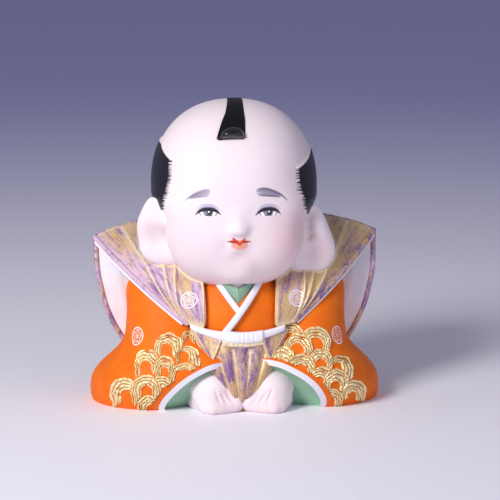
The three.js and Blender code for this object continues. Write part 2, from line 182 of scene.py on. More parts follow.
# The grain of matt paint on fired clay. It is built once, and the skin and every other matt coat use it,
# each as deep as it needs.
def reckon(tree, operation, *values, clamped=False):
    """One step of arithmetic on numbers, between 0 and 1 where it is clamped."""
    return node(tree, "Math", enumerate(values), operation=operation, use_clamp=clamped).outputs[0]


def clouds(tree, place, scale, detail, roughness=0.5, distortion=0.0):
    """Soft noise over the surface, from 0 to 1."""
    inputs = {"Vector": place, "Scale": scale, "Detail": detail, "Roughness": roughness}
    return node(tree, "TexNoise", {**inputs, "Distortion": distortion}).outputs[0]


def raised(tree, height, distance, strength):
    """The normal of a surface that is raised by a height map."""
    return node(tree, "Bump", {"Height": height, "Distance": distance, "Strength": strength}).outputs[0]


def new_group(name, inputs, outputs):
    """A node group with named sockets. Returns it, its outputs' node and the sockets of its inputs."""
    group = bpy.data.node_groups.new(name, "ShaderNodeTree")
    for socket, kind in inputs.items():
        group.interface.new_socket(name=socket, in_out="INPUT", socket_type="NodeSocket" + kind)
    for socket, kind in outputs.items():
        group.interface.new_socket(name=socket, in_out="OUTPUT", socket_type="NodeSocket" + kind)
    return group, group.nodes.new("NodeGroupOutput"), group.nodes.new("NodeGroupInput").outputs


clay_grain, made, given = new_group(
    "clay grain", {"Place": "Vector", "Depth": "Float"}, {"Normal": "Vector", "Tone": "Float"}
)
fine = clouds(clay_grain, given["Place"], 2.6, 4, 0.6)
broad = clouds(clay_grain, given["Place"], 0.12, 2)
height_map = reckon(clay_grain, "MULTIPLY_ADD", fine, 0.35, broad)
clay_grain.links.new(raised(clay_grain, height_map, 0.0006, given["Depth"]), made.inputs["Normal"])
clay_grain.links.new(reckon(clay_grain, "MULTIPLY_ADD", fine, 0.3, broad), made.inputs["Tone"])


# The head is a wide, soft ball of clay that narrows to the cheeks, with the face pressed into it. It is
# coated in matt shell white, and the face is painted on with fine brushes.
def mix(a, b, t):
    return a + (b - a) * t


def clamp(v, low=0.0, high=1.0):
    return min(max(v, low), high)


def ease(start, end, v):
    t = clamp((v - start) / (end - start))
    return t * t * (3 - 2 * t)


def bell(distance, radius):
    return exp(-((distance / radius) ** 2))


def ball(around, along, place):
    """A ball whose points are placed by t, from 0 at one pole to 1 at the other, and the angle round them."""
    bm = bmesh.new()
    bmesh.ops.create_uvsphere(bm, u_segments=around, v_segments=along, radius=1)
    for vert in bm.verts:
        t = acos(clamp(vert.co.z, -1, 1)) / pi
        at_pole = t < 1e-3 or t > 1 - 1e-3
        angle = 0 if at_pole else atan2(vert.co.y, vert.co.x)
        vert.co = Vector(place(t, angle)) * share
    bmesh.ops.recalc_face_normals(bm, faces=bm.faces)
    return bm


def painted_piece(name, bm, *materials, sharp=40):
    """The finished mesh as a piece of the doll."""
    mesh = bpy.data.meshes.new(name)
    bm.to_mesh(mesh)
    bm.free()
    for material in materials:
        mesh.materials.append(material)
    mesh.shade_smooth()
    mesh.set_sharp_from_angle(angle=radians(sharp))
    made = bpy.data.objects.new(name, mesh)
    bpy.context.scene.collection.objects.link(made)
    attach(made, "root")
    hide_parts(CAD_NODE)
    return made


HEAD = {"place": Vector((-0.8, -8, 106)), "wide": 39.4, "cheeks": 35.4, "deep": 42.5, "up": 41.3, "down": 49}
HEAD_TURN = radians(-2.7)
FACE_POLE = Vector((0, -1, -0.42)).normalized()
FACE_SHIFT = 0.8
# Each feature of the face: its place from the head's middle, the radius it spreads over, and its rise.
FEATURES = [
    ((23, -30, -25), 14, 3.2),
    ((0, -34, -38), 8.5, 3.0),
    ((0, -42, -14.9), 3.5, 2.5),
    ((3.0, -41.5, -15.8), 2.4, 0.9),
    ((0, -42, -8.5), 4.5, 0.9),
    ((0, -40, -23.5), 4.2, 1.1),
    ((14.6, -38, -7.5), 7.5, -1.2),
    ((14.6, -38, -8), 4.5, 0.9),
    ((0, -38, -29.5), 4.6, -1.1),
    ((6.6, -40, -24), 3.6, -0.5),
    ((14, -38, 12), 16, 0.9),
]
# Both sides' features, mirrored where they don't lie on the middle line.
BOTH_SIDES = [
    (Vector((side * x + FACE_SHIFT, y, z)), radius, rise)
    for (x, y, z), radius, rise in FEATURES
    for side in ((1, -1) if x else (1,))
]


def head_point(direction):
    """Where a ray from the head's middle leaves it."""
    x, y, z = direction
    tall = HEAD["up"] if z > 0 else HEAD["down"]
    n = mix(2.8, 2.25, ease(-0.3, 0.2, z))
    wide = mix(HEAD["wide"], HEAD["cheeks"], ease(-0.06, -0.36, z))
    reach = (abs(x / wide) ** n + abs(y / HEAD["deep"]) ** n + abs(z / tall) ** n) ** (-1 / n)
    point = direction * reach
    for place, radius, rise in BOTH_SIDES:
        apart = (point - place).length
        if apart < 3 * radius:
            reach += rise * bell(apart, radius)
    return direction * reach


def on_head(point):
    """From the head's own frame to the doll's."""
    return Matrix.Rotation(HEAD_TURN, 3, "Z") @ point + HEAD["place"]


# The hair covers the sides and the back, up to a line that climbs over the temples, runs level beside the
# crown and climbs again at the back. It is a thin raised layer, painted black.
HAIR_RISE = 0.8
HAIR_LEVEL = 19.8
# It lies higher and further back on one side: the lean for each share across.
HAIR_ASKEW = -0.045
FRONT_ASKEW = -0.045
TEMPLE = -10
TEMPLE_CLIMB = 0.33
NAPE_START = 10
NAPE_CLIMB = 0.0187
HAIR_FRONT = -29.3
HAIR_FRONT_MIDDLE = 4
HAIR_FRONT_BOW = 0.018
SIDEBURN_END = -8
SIDEBURN_SLOPE = 1.3
HAIR_NAPE = -38


def hair_depth(p):
    """How far a point of the head lies within the hair."""
    crown = HAIR_LEVEL + TEMPLE_CLIMB * min(p.y - TEMPLE, 0) + NAPE_CLIMB * max(p.y - NAPE_START, 0) ** 2
    crown += HAIR_ASKEW * p.x
    front = HAIR_FRONT + HAIR_FRONT_BOW * (p.z - HAIR_FRONT_MIDDLE) ** 2
    front += SIDEBURN_SLOPE * max(SIDEBURN_END - p.z, 0)
    front += FRONT_ASKEW * p.x
    return min(crown - p.z, p.y - front, p.z - HAIR_NAPE)


def head_mesh():
    tilt = Vector((0, 0, 1)).rotation_difference(FACE_POLE).to_matrix()

    def place(t, angle):
        away = pi * t ** 1.3
        direction = tilt @ Vector((sin(away) * cos(angle), sin(away) * sin(angle), cos(away)))
        point = head_point(direction)
        return on_head(point + direction * HAIR_RISE * ease(-1, 0.2, hair_depth(point)))

    return ball(300, 210, place)


# The skin is shell white, with a blush brushed over the cheeks. The blush is stronger on the doll's left,
# where it is partly painted shade on the side away from the key lamp, and a wide spot of it up the side
# of the head there is painted shade. The SHADE spots are painted shade by the nose, lip and chin. The same
# paint covers the ears and hands.
SKIN_WHITE = screen_colour(242, 230, 234)
SKIN_THIN = screen_colour(240, 226, 232)
BLUSH_AND_SHADE_PINK = screen_colour(236, 150, 150)
SHADE = screen_colour(186, 140, 140)
FACE_BLUSH_AND_SHADE = [
    ((25, -34, -21), 13, 0.34, BLUSH_AND_SHADE_PINK),
    ((-24, -35, -21), 11, 0.14, BLUSH_AND_SHADE_PINK),
    ((0, -37, -33), 9, 0.1, BLUSH_AND_SHADE_PINK),
    # Painted shade up the side of the head, away from the key lamp.
    ((38, -16, -2), 20, 0.22, BLUSH_AND_SHADE_PINK),
    # Painted shade beside and under the nose, beside the chin and under the lower lip.
    ((6.0, -42, -14.5), 2.6, 0.2, SHADE),
    ((3.4, -43, -18.6), 2.2, 0.15, SHADE),
    ((7, -38, -34), 4.5, 0.2, SHADE),
    ((1.6, -40, -27), 3.4, 0.12, SHADE),
]


def in_shares(tree, location=(0, 0, 0), rotation=(0, 0, 0)):
    """The place on the doll in shares of its height, turned and then moved."""
    place = node(tree, "TexCoord").outputs["Object"]
    inputs = {"Vector": place, "Location": location, "Rotation": rotation, "Scale": (1 / share,) * 3}
    return node(tree, "Mapping", inputs).outputs["Vector"]


def use_group(tree, group, **inputs):
    """Places a node group in a tree. An input's name is written with _ for each space."""
    made = tree.nodes.new("ShaderNodeGroup")
    made.node_tree = group
    for name, value in inputs.items():
        socket = made.inputs[name.replace("_", " ")]
        if isinstance(value, bpy.types.NodeSocket):
            tree.links.new(value, socket)
        else:
            socket.default_value = value
    return made.outputs


# A soft round spot of colour: 1 at its centre, fading over its radius.
soft_spot, made, given = new_group(
    "soft spot", {"Place": "Vector", "Centre": "Vector", "Radius": "Float"}, {"Mask": "Float"}
)
ends = {0: given["Place"], 1: given["Centre"]}
apart = node(soft_spot, "VectorMath", ends, operation="DISTANCE").outputs["Value"]
reach = reckon(soft_spot, "DIVIDE", apart, given["Radius"])
squared = reckon(soft_spot, "MULTIPLY", reach, reach)
fade = reckon(soft_spot, "EXPONENT", reckon(soft_spot, "MULTIPLY", squared, -1))
soft_spot.links.new(fade, made.inputs["Mask"])


def skin_paint(name, spots, location=(0, 0, 0), rotation=(0, 0, 0)):
    """The matt white of the skin with soft spots of colour: their places, radii, strengths and colours."""
    made, tree, shader = new_paint(name, 0.58, specular=0.35)
    place = in_shares(tree, location, rotation)
    grained = use_group(tree, clay_grain, Place=place, Depth=0.10)
    colour = painted_over(tree, SKIN_WHITE, SKIN_THIN, grained["Tone"])
    for at, radius, strength, shade in spots:
        mask = use_group(tree, soft_spot, Place=place, Centre=at, Radius=radius)["Mask"]
        colour = painted_over(tree, colour, shade, reckon(tree, "MULTIPLY", mask, strength))
    lead_in(tree, shader, {"Base Color": colour, "Normal": grained["Normal"]})
    return made, tree, shader, place, colour


head_at = -(Matrix.Rotation(-HEAD_TURN, 3, "Z") @ HEAD["place"])
face_paint, tree, shader, place, colour = skin_paint("face_paint", FACE_BLUSH_AND_SHADE, head_at, (0, 0, -HEAD_TURN))
parted = node(tree, "SeparateXYZ", {0: place}).outputs
across, depth, up = parted["X"], parted["Y"], parted["Z"]

# One stroke of a pointed brush, from one place to another on a plane, bowed to one side. It is fullest in
# its middle and runs out to a point at both ends.
STROKE_INPUTS = ["Across", "Up", "From across", "From up", "To across", "To up", "Bow", "Half", "Soft"]
brush_stroke, made, given = new_group(
    "brush stroke", {socket: "Float" for socket in STROKE_INPUTS}, {"Mask": "Float"}
)
run = reckon(brush_stroke, "SUBTRACT", given["To across"], given["From across"])
past = reckon(brush_stroke, "SUBTRACT", given["Across"], given["From across"])
along = reckon(brush_stroke, "DIVIDE", past, run)
off_middle = reckon(brush_stroke, "ABSOLUTE", reckon(brush_stroke, "MULTIPLY_ADD", along, 2, -1))
rounded = reckon(brush_stroke, "SUBTRACT", 1, reckon(brush_stroke, "POWER", off_middle, 2.6))
rise = reckon(brush_stroke, "SUBTRACT", given["To up"], given["From up"])
straight = reckon(brush_stroke, "MULTIPLY_ADD", along, rise, given["From up"])
line = reckon(brush_stroke, "MULTIPLY_ADD", rounded, given["Bow"], straight)
steep = reckon(brush_stroke, "DIVIDE", rise, run)
slant = reckon(brush_stroke, "SQRT", reckon(brush_stroke, "MULTIPLY_ADD", steep, steep, 1))
above = reckon(brush_stroke, "ABSOLUTE", reckon(brush_stroke, "SUBTRACT", given["Up"], line))
off_line = reckon(brush_stroke, "DIVIDE", above, slant)
fullness = reckon(brush_stroke, "POWER", reckon(brush_stroke, "MAXIMUM", rounded, 0), 0.6)
half = reckon(brush_stroke, "MULTIPLY", given["Half"], fullness)
depth_in = reckon(brush_stroke, "DIVIDE", reckon(brush_stroke, "SUBTRACT", half, off_line), given["Soft"])
within = reckon(brush_stroke, "ADD", depth_in, 0.5, clamped=True)
inside = reckon(brush_stroke, "LESS_THAN", off_middle, 1)
brush_stroke.links.new(reckon(brush_stroke, "MULTIPLY", within, inside), made.inputs["Mask"])

# A dab of the brush: an oval with a soft edge.
DAB_INPUTS = ["Across", "Up", "At across", "At up", "Half across", "Half up", "Soft"]
brush_dab, made, given = new_group(
    "brush dab", {socket: "Float" for socket in DAB_INPUTS}, {"Mask": "Float"}
)
reaches = []
for way in ("across", "up"):
    off = reckon(brush_dab, "SUBTRACT", given[way.capitalize()], given["At " + way])
    reaches.append(reckon(brush_dab, "DIVIDE", off, given["Half " + way]))
squared = reckon(brush_dab, "MULTIPLY", reaches[1], reaches[1])
reach = reckon(brush_dab, "SQRT", reckon(brush_dab, "MULTIPLY_ADD", reaches[0], reaches[0], squared))
within = reckon(brush_dab, "DIVIDE", reckon(brush_dab, "SUBTRACT", 1, reach), given["Soft"])
brush_dab.links.new(reckon(brush_dab, "ADD", within, 0.5, clamped=True), made.inputs["Mask"])

# Each stroke of the face: where it starts and ends, its bow, its half width, how soft its edge is, its
# colour and how strongly it covers. A dab has its place and its two halves instead of the first four.
NAVY = screen_colour(38, 36, 54)
LID_BLUE = screen_colour(104, 112, 156)
CREASE = screen_colour(146, 138, 172)
BROW = screen_colour(118, 112, 142)
BROW_DARK = screen_colour(84, 80, 104)
VERMILION = screen_colour(222, 74, 34)
LIP_LINE = screen_colour(160, 42, 24)
SALMON = screen_colour(244, 168, 150)
WHITE = screen_colour(255, 255, 255)
IRIS = screen_colour(138, 136, 162)
PUPIL = screen_colour(24, 20, 30)

MOUTH_DABS = [
    ((0.0, -22.7), (2.6, 2.2), 0.3, SALMON, 1.0),
    ((2.5, -22.8), (2.7, 2.3), 0.3, SALMON, 1.0),
    ((1.3, -23.2), (2.4, 2.1), 0.3, SALMON, 1.0),
    ((-1.1, -21.2), (2.1, 0.85), 0.4, VERMILION, 1.0),
    ((3.7, -21.3), (1.7, 0.75), 0.5, VERMILION, 0.8),
]
MOUTH_STROKES = [
    ((-2.2, -19.7), (2.1, -23.1), 0.1, 0.8, 0.35, VERMILION, 1.0),
    ((0.7, -23.1), (4.3, -19.8), 0.1, 0.7, 0.35, VERMILION, 1.0),
    ((-4.6, -21.3), (0.6, -21.7), 0.1, 0.4, 0.35, LIP_LINE, 0.95),
    ((2.4, -21.6), (6.8, -21.4), 0.1, 0.4, 0.35, LIP_LINE, 0.95),
]
# The doll's left brow is darker: partly its paint, partly painted shade away from the key lamp.
BROW_STROKES = [
    ((-24.6, -2.5), (-12.6, 3.6), 1.3, 0.55, 0.5, BROW, 0.65),
    ((-22.6, -0.9), (-12.2, 2.7), 0.9, 0.75, 0.8, BROW, 0.6),
    ((-22.2, -0.8), (-12.5, 1.6), 0.6, 0.75, 0.8, BROW, 0.6),
    ((-22.4, -1.1), (-13.2, 0.6), 0.3, 0.45, 0.4, BROW, 0.65),
    ((9.2, 3.5), (24.4, -2.6), 2.4, 0.6, 0.4, BROW_DARK, 0.85),
    ((9.0, 2.7), (21.0, 0.2), 1.2, 0.8, 0.8, BROW, 0.8),
    ((9.4, 1.6), (20.8, -0.1), 0.5, 0.8, 0.8, BROW, 0.75),
    ((10.2, 0.8), (20.8, -0.5), 0.3, 0.45, 0.4, BROW_DARK, 0.75),
]
# The eyes are drawn alike, each about its own middle.
EYES = [(-13.5, 0.0), (14.9, -0.1)]
EYE_WHITE = ((0, -7.7), (4.6, 1.25), 0.4, WHITE, 0.95)
EYE_DABS = [
    ((0.0, -7.1), (2.4, 1.7), 0.2, IRIS, 1.0),
    ((0.75, -7.3), (1.25, 1.3), 0.6, PUPIL, 0.92),
]
# A painted highlight: a small white glint in each eye.
EYE_HIGHLIGHT = ((0.35, -6.95), (0.42, 0.4), 0.4, WHITE, 1.0)
EYE_STROKES = [
    ((-5.4, -7.3), (5.4, -7.1), 2.2, 1.0, 1.2, LID_BLUE, 0.75),
    ((-6.2, -8.8), (6.1, -8.5), 2.9, 0.9, 0.35, NAVY, 1.0),
    ((-3.2, -7.0), (4.8, -7.3), 1.3, 0.5, 0.5, NAVY, 0.85),
    ((-6.0, -6.5), (6.0, -6.5), 3.1, 0.2, 0.4, CREASE, 0.75),
    ((-1.9, -8.55), (2.2, -8.55), -0.15, 0.28, 0.3, PUPIL, 0.9),
    ((-4.7, -7.2), (-3.2, -8.7), 0.0, 0.24, 0.3, NAVY, 0.9),
    ((3.1, -8.8), (4.8, -7.1), 0.0, 0.24, 0.3, NAVY, 0.9),
]


def add_dab(tree, colour, at, halves, soft, paint, strength, middle=(0, 0)):
    """Lays a dab of paint over a colour, at a place that is given from the middle."""
    mask = use_group(
        tree, brush_dab, Across=across, Up=up,
        At_across=at[0] + middle[0], At_up=at[1] + middle[1],
        Half_across=halves[0], Half_up=halves[1], Soft=soft,
    )["Mask"]
    return painted_over(tree, colour, paint, reckon(tree, "MULTIPLY", mask, strength))


def add_stroke(tree, colour, start, end, bow, half, soft, paint, strength, middle=(0, 0)):
    """Lays a stroke of paint over a colour, between two places that are given from the middle."""
    mask = use_group(
        tree, brush_stroke, Across=across, Up=up,
        From_across=start[0] + middle[0], From_up=start[1] + middle[1],
        To_across=end[0] + middle[0], To_up=end[1] + middle[1],
        Bow=bow, Half=half, Soft=soft,
    )["Mask"]
    return painted_over(tree, colour, paint, reckon(tree, "MULTIPLY", mask, strength))


plain = colour
for dab in MOUTH_DABS:
    colour = add_dab(tree, colour, *dab)
for stroke in [*MOUTH_STROKES, *BROW_STROKES]:
    colour = add_stroke(tree, colour, *stroke)
for middle in EYES:
    colour = add_dab(tree, colour, *EYE_WHITE, middle=middle)
    for dab in EYE_DABS:
        colour = add_dab(tree, colour, *dab, middle=middle)
    for stroke in EYE_STROKES:
        colour = add_stroke(tree, colour, *stroke, middle=middle)
    colour = add_dab(tree, colour, *EYE_HIGHLIGHT, middle=middle)
# Only the front of the head is drawn on, as far back as this.
DRAWN_ON = -20
colour = painted_over(tree, plain, colour, reckon(tree, "LESS_THAN", depth, DRAWN_ON))

# The hair is black, semi-gloss and combed back, with a painted sheen in grey-blue streaks along its
# strands. Its front edge is drawn out in fine spikes.
HAIR_BLACK = screen_colour(20, 18, 27)
HAIR_SHEEN = screen_colour(52, 50, 68)
SPIKE_LONG = 1.7


def combed_noise(tree, place, stretch, scale, roughness=0.5):
    """Noise that is drawn out along the hair."""
    drawn = node(tree, "Mapping", {"Vector": place, "Scale": stretch}).outputs[0]
    return clouds(tree, drawn, scale, 4, roughness)


def soft_step(tree, value, sharpness):
    """From 0 to 1 where a value rises past 0."""
    return reckon(tree, "MULTIPLY_ADD", value, sharpness, 0.5, clamped=True)


# The same lines bound the paint and the raised layer.
askew = reckon(tree, "MULTIPLY_ADD", across, HAIR_ASKEW, HAIR_LEVEL)
before_temple = reckon(tree, "MINIMUM", reckon(tree, "SUBTRACT", depth, TEMPLE), 0)
level = reckon(tree, "MULTIPLY_ADD", before_temple, TEMPLE_CLIMB, askew)
past_nape = reckon(tree, "MAXIMUM", reckon(tree, "SUBTRACT", depth, NAPE_START), 0)
crown = reckon(tree, "MULTIPLY_ADD", reckon(tree, "MULTIPLY", past_nape, past_nape), NAPE_CLIMB, level)
from_middle = reckon(tree, "SUBTRACT", up, HAIR_FRONT_MIDDLE)
bow = reckon(tree, "MULTIPLY", from_middle, from_middle)
askew_front = reckon(tree, "MULTIPLY_ADD", across, FRONT_ASKEW, HAIR_FRONT)
bowed = reckon(tree, "MULTIPLY_ADD", bow, HAIR_FRONT_BOW, askew_front)
below_sideburn = reckon(tree, "MAXIMUM", reckon(tree, "SUBTRACT", SIDEBURN_END, up), 0)
front = reckon(tree, "MULTIPLY_ADD", below_sideburn, SIDEBURN_SLOPE, bowed)
strands = combed_noise(tree, place, (0.07, 0.07, 2.5), 1.0, 0.7)
lively = reckon(tree, "POWER", reckon(tree, "MULTIPLY", strands, 1.7), 4)
spikes = reckon(tree, "MULTIPLY", lively, SPIKE_LONG)
behind = reckon(tree, "SUBTRACT", depth, reckon(tree, "SUBTRACT", front, spikes))
under_crown = soft_step(tree, reckon(tree, "SUBTRACT", crown, up), 2.5)
above_nape = soft_step(tree, reckon(tree, "SUBTRACT", up, HAIR_NAPE), 2.5)
behind_front = soft_step(tree, behind, 1.6)
hair = reckon(tree, "MULTIPLY", reckon(tree, "MULTIPLY", under_crown, behind_front), above_nape)
# Painted sheen: lighter streaks over the black.
black = painted_over(tree, HAIR_BLACK, HAIR_SHEEN, reckon(tree, "POWER", strands, 3))
lead_in(tree, shader, {
    "Base Color": painted_over(tree, colour, black, hair),
    "Roughness": reckon(tree, "MULTIPLY_ADD", hair, -0.2, 0.58),
})

painted_piece("head", head_mesh(), face_paint)


# The ears are long leaves of clay with heavy lobes, pressed on beside the cheeks, each with a shallow hollow.
# They are coated in the same shell white as the face, with a little blush. Brown painted shade darkens the
# hollow of the left ear.
EAR = {"place": Vector((35, -13, -22.6)), "half_tall": 17.3, "half_thick": 4.8}
EAR_SHIFT = 1.3
EAR_DROP = {1: 2.1, -1: -2.1}
# The upper part of each leans out and forward, the more so on the doll's right.
EAR_OUT = {1: 0.4, -1: 4.4}
EAR_FORWARD = 6.5


def ear_mesh(side):
    def place(t, angle):
        c = cos(pi * t)
        out = sin(pi * t) * cos(angle)
        fore = sin(pi * t) * sin(angle)
        lean = ease(-0.4, 0.4, c)
        wide = 11.6 - 5.5 * c + 1.2 * c * c - 1.2 * lean
        hollow = 2.8 * bell(hypot(out - 0.1, 0.6 * (c - 0.2)), 0.4) * clamp(fore * 2)
        return on_head(Vector((
            side * (EAR["place"].x + 1.2 * c + EAR_OUT[side] * lean + wide * out) + EAR_SHIFT,
            EAR["place"].y - EAR["half_thick"] * (1 - 0.25 * c) * fore + hollow
            - EAR_FORWARD * lean + (1.5 + 3.5 * lean) * out,
            EAR["place"].z + EAR["half_tall"] * c - EAR_DROP[side],
        )))

    return ball(96, 72, place)


EAR_HOLLOW_SHADE = screen_colour(168, 112, 104)
EAR_BLUSH_AND_SHADE = [
    # Painted shade in the hollow of the left ear, on the side away from the key lamp.
    ((36.2, -22, -14), 2.6, 0.4, EAR_HOLLOW_SHADE),
    ((40.2, -22, -13), 2.4, 0.25, EAR_HOLLOW_SHADE),
    ((35.2, -21, -18.5), 2.8, 0.6, EAR_HOLLOW_SHADE),
    ((36.4, -19, -22.8), 2.8, 0.6, EAR_HOLLOW_SHADE),
    ((-39, -18, -17), 5, 0.15, BLUSH_AND_SHADE_PINK),
    ((41, -15, -31), 7, 0.2, BLUSH_AND_SHADE_PINK),
]
ear_paint = skin_paint("ear_paint", EAR_BLUSH_AND_SHADE, head_at, (0, 0, -HEAD_TURN))[0]
# The sides are named as the figure's own: its left is at +X.
SIDES = ((1, "left"), (-1, "right"))
for side, word in SIDES:
    painted_piece("ear_" + word, ear_mesh(side), ear_paint)


# The topknot is a flat tail of hair laid forward over the crown, with a raised, folded tip. It is modelled
# on and painted black, and its tip is lacquered.
def through(*pairs):
    """A smooth curve through pairs of a place and a value."""
    slopes = []
    for i in range(len(pairs)):
        before = pairs[max(i - 1, 0)]
        after = pairs[min(i + 1, len(pairs) - 1)]
        slopes.append((after[1] - before[1]) / (after[0] - before[0]))

    def at(place):
        i = 0
        while i < len(pairs) - 2 and place > pairs[i + 1][0]:
            i += 1
        span = pairs[i + 1][0] - pairs[i][0]
        t = clamp((place - pairs[i][0]) / span)
        pull = slopes[i] * span * (t - 2 * t * t + t ** 3)
        push = slopes[i + 1] * span * (t ** 3 - t * t)
        return mix(pairs[i][1], pairs[i + 1][1], t * t * (3 - 2 * t)) + pull + push

    return at


KNOT_FRONT = radians(37)
KNOT_BACK = radians(138)
knot_slant = through((0, -2.6), (0.15, -1), (0.25, -0.2), (0.5, 0.4), (1, 0.4))
knot_half_width = through((0, 6.9), (0.15, 5.5), (0.25, 4.4), (0.5, 3.65), (0.8, 3.8), (1, 5.5))
knot_half_thick = through((0, 1.5), (0.16, 1.3), (0.3, 0.7), (0.5, 0.25), (0.68, 0.4), (0.85, 1.7), (1, 1.6))


def bulge(v, power):
    return copysign(abs(v) ** power, v)


def strap(around, along, path, across, out, half_width, half_thick, square=0.7, end=0.8):
    """A strap or rod along a path, with flat ends whose edges are eased. Its section is a soft oblong."""
    rings = along - 2

    def place(at, angle):
        ring = at * along - 1
        t = clamp(ring / rings)
        closed = ring < -0.5 or ring > rings + 0.5
        at_end = t < 1e-4 or t > 1 - 1e-4
        full = 0 if closed else end if at_end else 1
        wide = half_width(t) * full * bulge(cos(angle), square)
        thick = half_thick(t) * full * bulge(sin(angle), square)
        return Vector(path(t)) + Vector(across(t)) * wide + Vector(out(t)) * thick

    return ball(around, along, place)


def knot_outward(t):
    up_from = mix(KNOT_FRONT, KNOT_BACK, t)
    return Vector((0, -cos(up_from), sin(up_from)))


def knot_path(t):
    point = head_point(knot_outward(t))
    point.x = knot_slant(t)
    return on_head(point)


# The folded tip stands up from the strap as a dome that is cut off square at the front.
TIP_LONG = 0.082
TIP_HALF_WIDTH = 5.9
TIP_HALF_THICK = 4.4


def tip_round(t):
    return max(1 - t * t, 0) ** 0.5 * mix(0.8, 1, ease(0, 0.16, t) ** 0.5)


def topknot_tip():
    return strap(
        48, 60,
        lambda t: knot_path(t * TIP_LONG) + Vector((0.5, 0, 0)) + knot_outward(0) * 0.6,
        lambda t: (1, 0, 0),
        lambda t: knot_outward(t * TIP_LONG),
        lambda t: TIP_HALF_WIDTH * tip_round(t),
        lambda t: TIP_HALF_THICK * tip_round(t),
        square=0.9, end=0.93,
    )


# The lighter streaks of KNOT_SHEEN are a faint painted sheen along the strands.
KNOT_BLACK = screen_colour(12, 11, 15)
KNOT_SHEEN = screen_colour(24, 22, 30)


def black_paint(name, roughness, coat):
    made, tree, shader = new_paint(name, roughness, specular=0.16, coat=coat, coat_roughness=0.12)
    strands = combed_noise(tree, in_shares(tree), (1.2, 0.1, 0.1), 2.0)
    shade = painted_over(tree, KNOT_BLACK, KNOT_SHEEN, strands)
    lead_in(tree, shader, {"Base Color": shade, "Normal": raised(tree, strands, 0.0003, 0.2)})
    return made


topknot = strap(
    48, 90, knot_path, lambda t: (1, 0, 0), knot_outward, knot_half_width, knot_half_thick, end=0.85,
)
painted_piece("topknot", topknot, black_paint("black_hair", 0.5, 0.0))
painted_piece("topknot_tip", topknot_tip(), black_paint("black_lacquer", 0.16, 0.9))


# The brocade of the stiff dress is paint on the clay: mauve and gold are brushed over purple in long
# strokes. More gold and a patchy pale gold go where each sheet is marked, and on raised folds that pale
# gold is partly gilding and partly a painted highlight.
PURPLE = screen_colour(122, 84, 146)
MAUVE = screen_colour(212, 182, 206)
SAND_GOLD = screen_colour(224, 188, 122)
PALE_GOLD = screen_colour(252, 242, 214)


def brocade_paint(name, strokes, gold=0.0, pink=0.0, crests=()):
    """Brushed brocade. Its strokes are stretched by three factors, and it has more or less gold and mauve."""
    made, tree, shader = new_paint(name, 0.48, specular=0.4)
    place = in_shares(tree)
    sweep = node(tree, "Attribute", attribute_name="sweep").outputs["Vector"]
    drawn = node(tree, "Mapping", {"Vector": sweep, "Scale": strokes}).outputs[0]
    hairs = clouds(tree, drawn, 1.0, 4, 0.65)
    stipple = clouds(tree, place, 1.5, 3, 0.7)
    fine = reckon(tree, "MULTIPLY_ADD", reckon(tree, "ADD", hairs, stipple), 1.1, -0.6)
    broad = clouds(tree, drawn, 0.17, 5, 0.62, 0.9)
    moved = node(tree, "Mapping", {"Vector": drawn, "Location": (37, 11, 5)}).outputs[0]
    second = clouds(tree, moved, 0.22, 5, 0.64, 0.8)
    ridge = node(tree, "Attribute", attribute_name="ridge").outputs["Fac"]
    rubbed = reckon(tree, "MULTIPLY_ADD", second, 4.0, pink - 1.65)
    mauve = reckon(tree, "ADD", rubbed, reckon(tree, "MULTIPLY_ADD", fine, 1.3, -0.65), clamped=True)
    colour = painted_over(tree, PURPLE, MAUVE, mauve)
    wash = reckon(tree, "MULTIPLY_ADD", broad, 4.6, gold - 2.0)
    dry = reckon(tree, "MULTIPLY_ADD", fine, 1.7, -0.85)
    covered = reckon(tree, "ADD", reckon(tree, "ADD", wash, dry), ridge, clamped=True)
    gilt = reckon(tree, "MULTIPLY", covered, 0.88)
    colour = painted_over(tree, colour, SAND_GOLD, gilt)
    patchy = reckon(tree, "MULTIPLY_ADD", fine, 2.0, -0.35, clamped=True)
    # Pale gold on the marked places; on raised folds it is partly a painted highlight.
    pale_gold_mask = reckon(tree, "MULTIPLY", ridge, patchy, clamped=True)
    colour = painted_over(tree, colour, PALE_GOLD, pale_gold_mask)
    colour = with_crests(tree, place, colour, screen_colour(240, 232, 244), crests)
    height = reckon(tree, "MULTIPLY_ADD", broad, 1.2, fine)
    lead_in(tree, shader, {
        "Base Color": colour,
        "Metallic": reckon(tree, "MULTIPLY", gilt, 0.2),
        "Roughness": reckon(tree, "MULTIPLY_ADD", gilt, -0.12, 0.48),
        "Normal": raised(tree, height, 0.0006, 0.3),
    })
    return made


def mark_cloth(bm, sweep, ridge=None):
    """Stores on each point its place along the brush strokes, and its gold, in part a painted highlight."""
    sweeps = bm.verts.layers.float_vector.new("sweep")
    ridges = bm.verts.layers.float.new("ridge")
    for vert in bm.verts:
        vert[sweeps] = sweep(vert.co / share)
        vert[ridges] = ridge(vert.co / share) if ridge else 0


# A crest: a thin ring round a flower of five petals, drawn in a pale line.
flower_crest, made, given = new_group("flower crest", {"Across": "Float", "Up": "Float"}, {"Mask": "Float"})
PETALS = 5
LINE_HALF = 0.055
RINGS = [(0.93, LINE_HALF * 1.3), (0.16, LINE_HALF)]


def crest_line(value, at, half):
    """A line of the crest, where a value is near another."""
    off = reckon(flower_crest, "ABSOLUTE", reckon(flower_crest, "SUBTRACT", value, at))
    return reckon(flower_crest, "LESS_THAN", off, half)


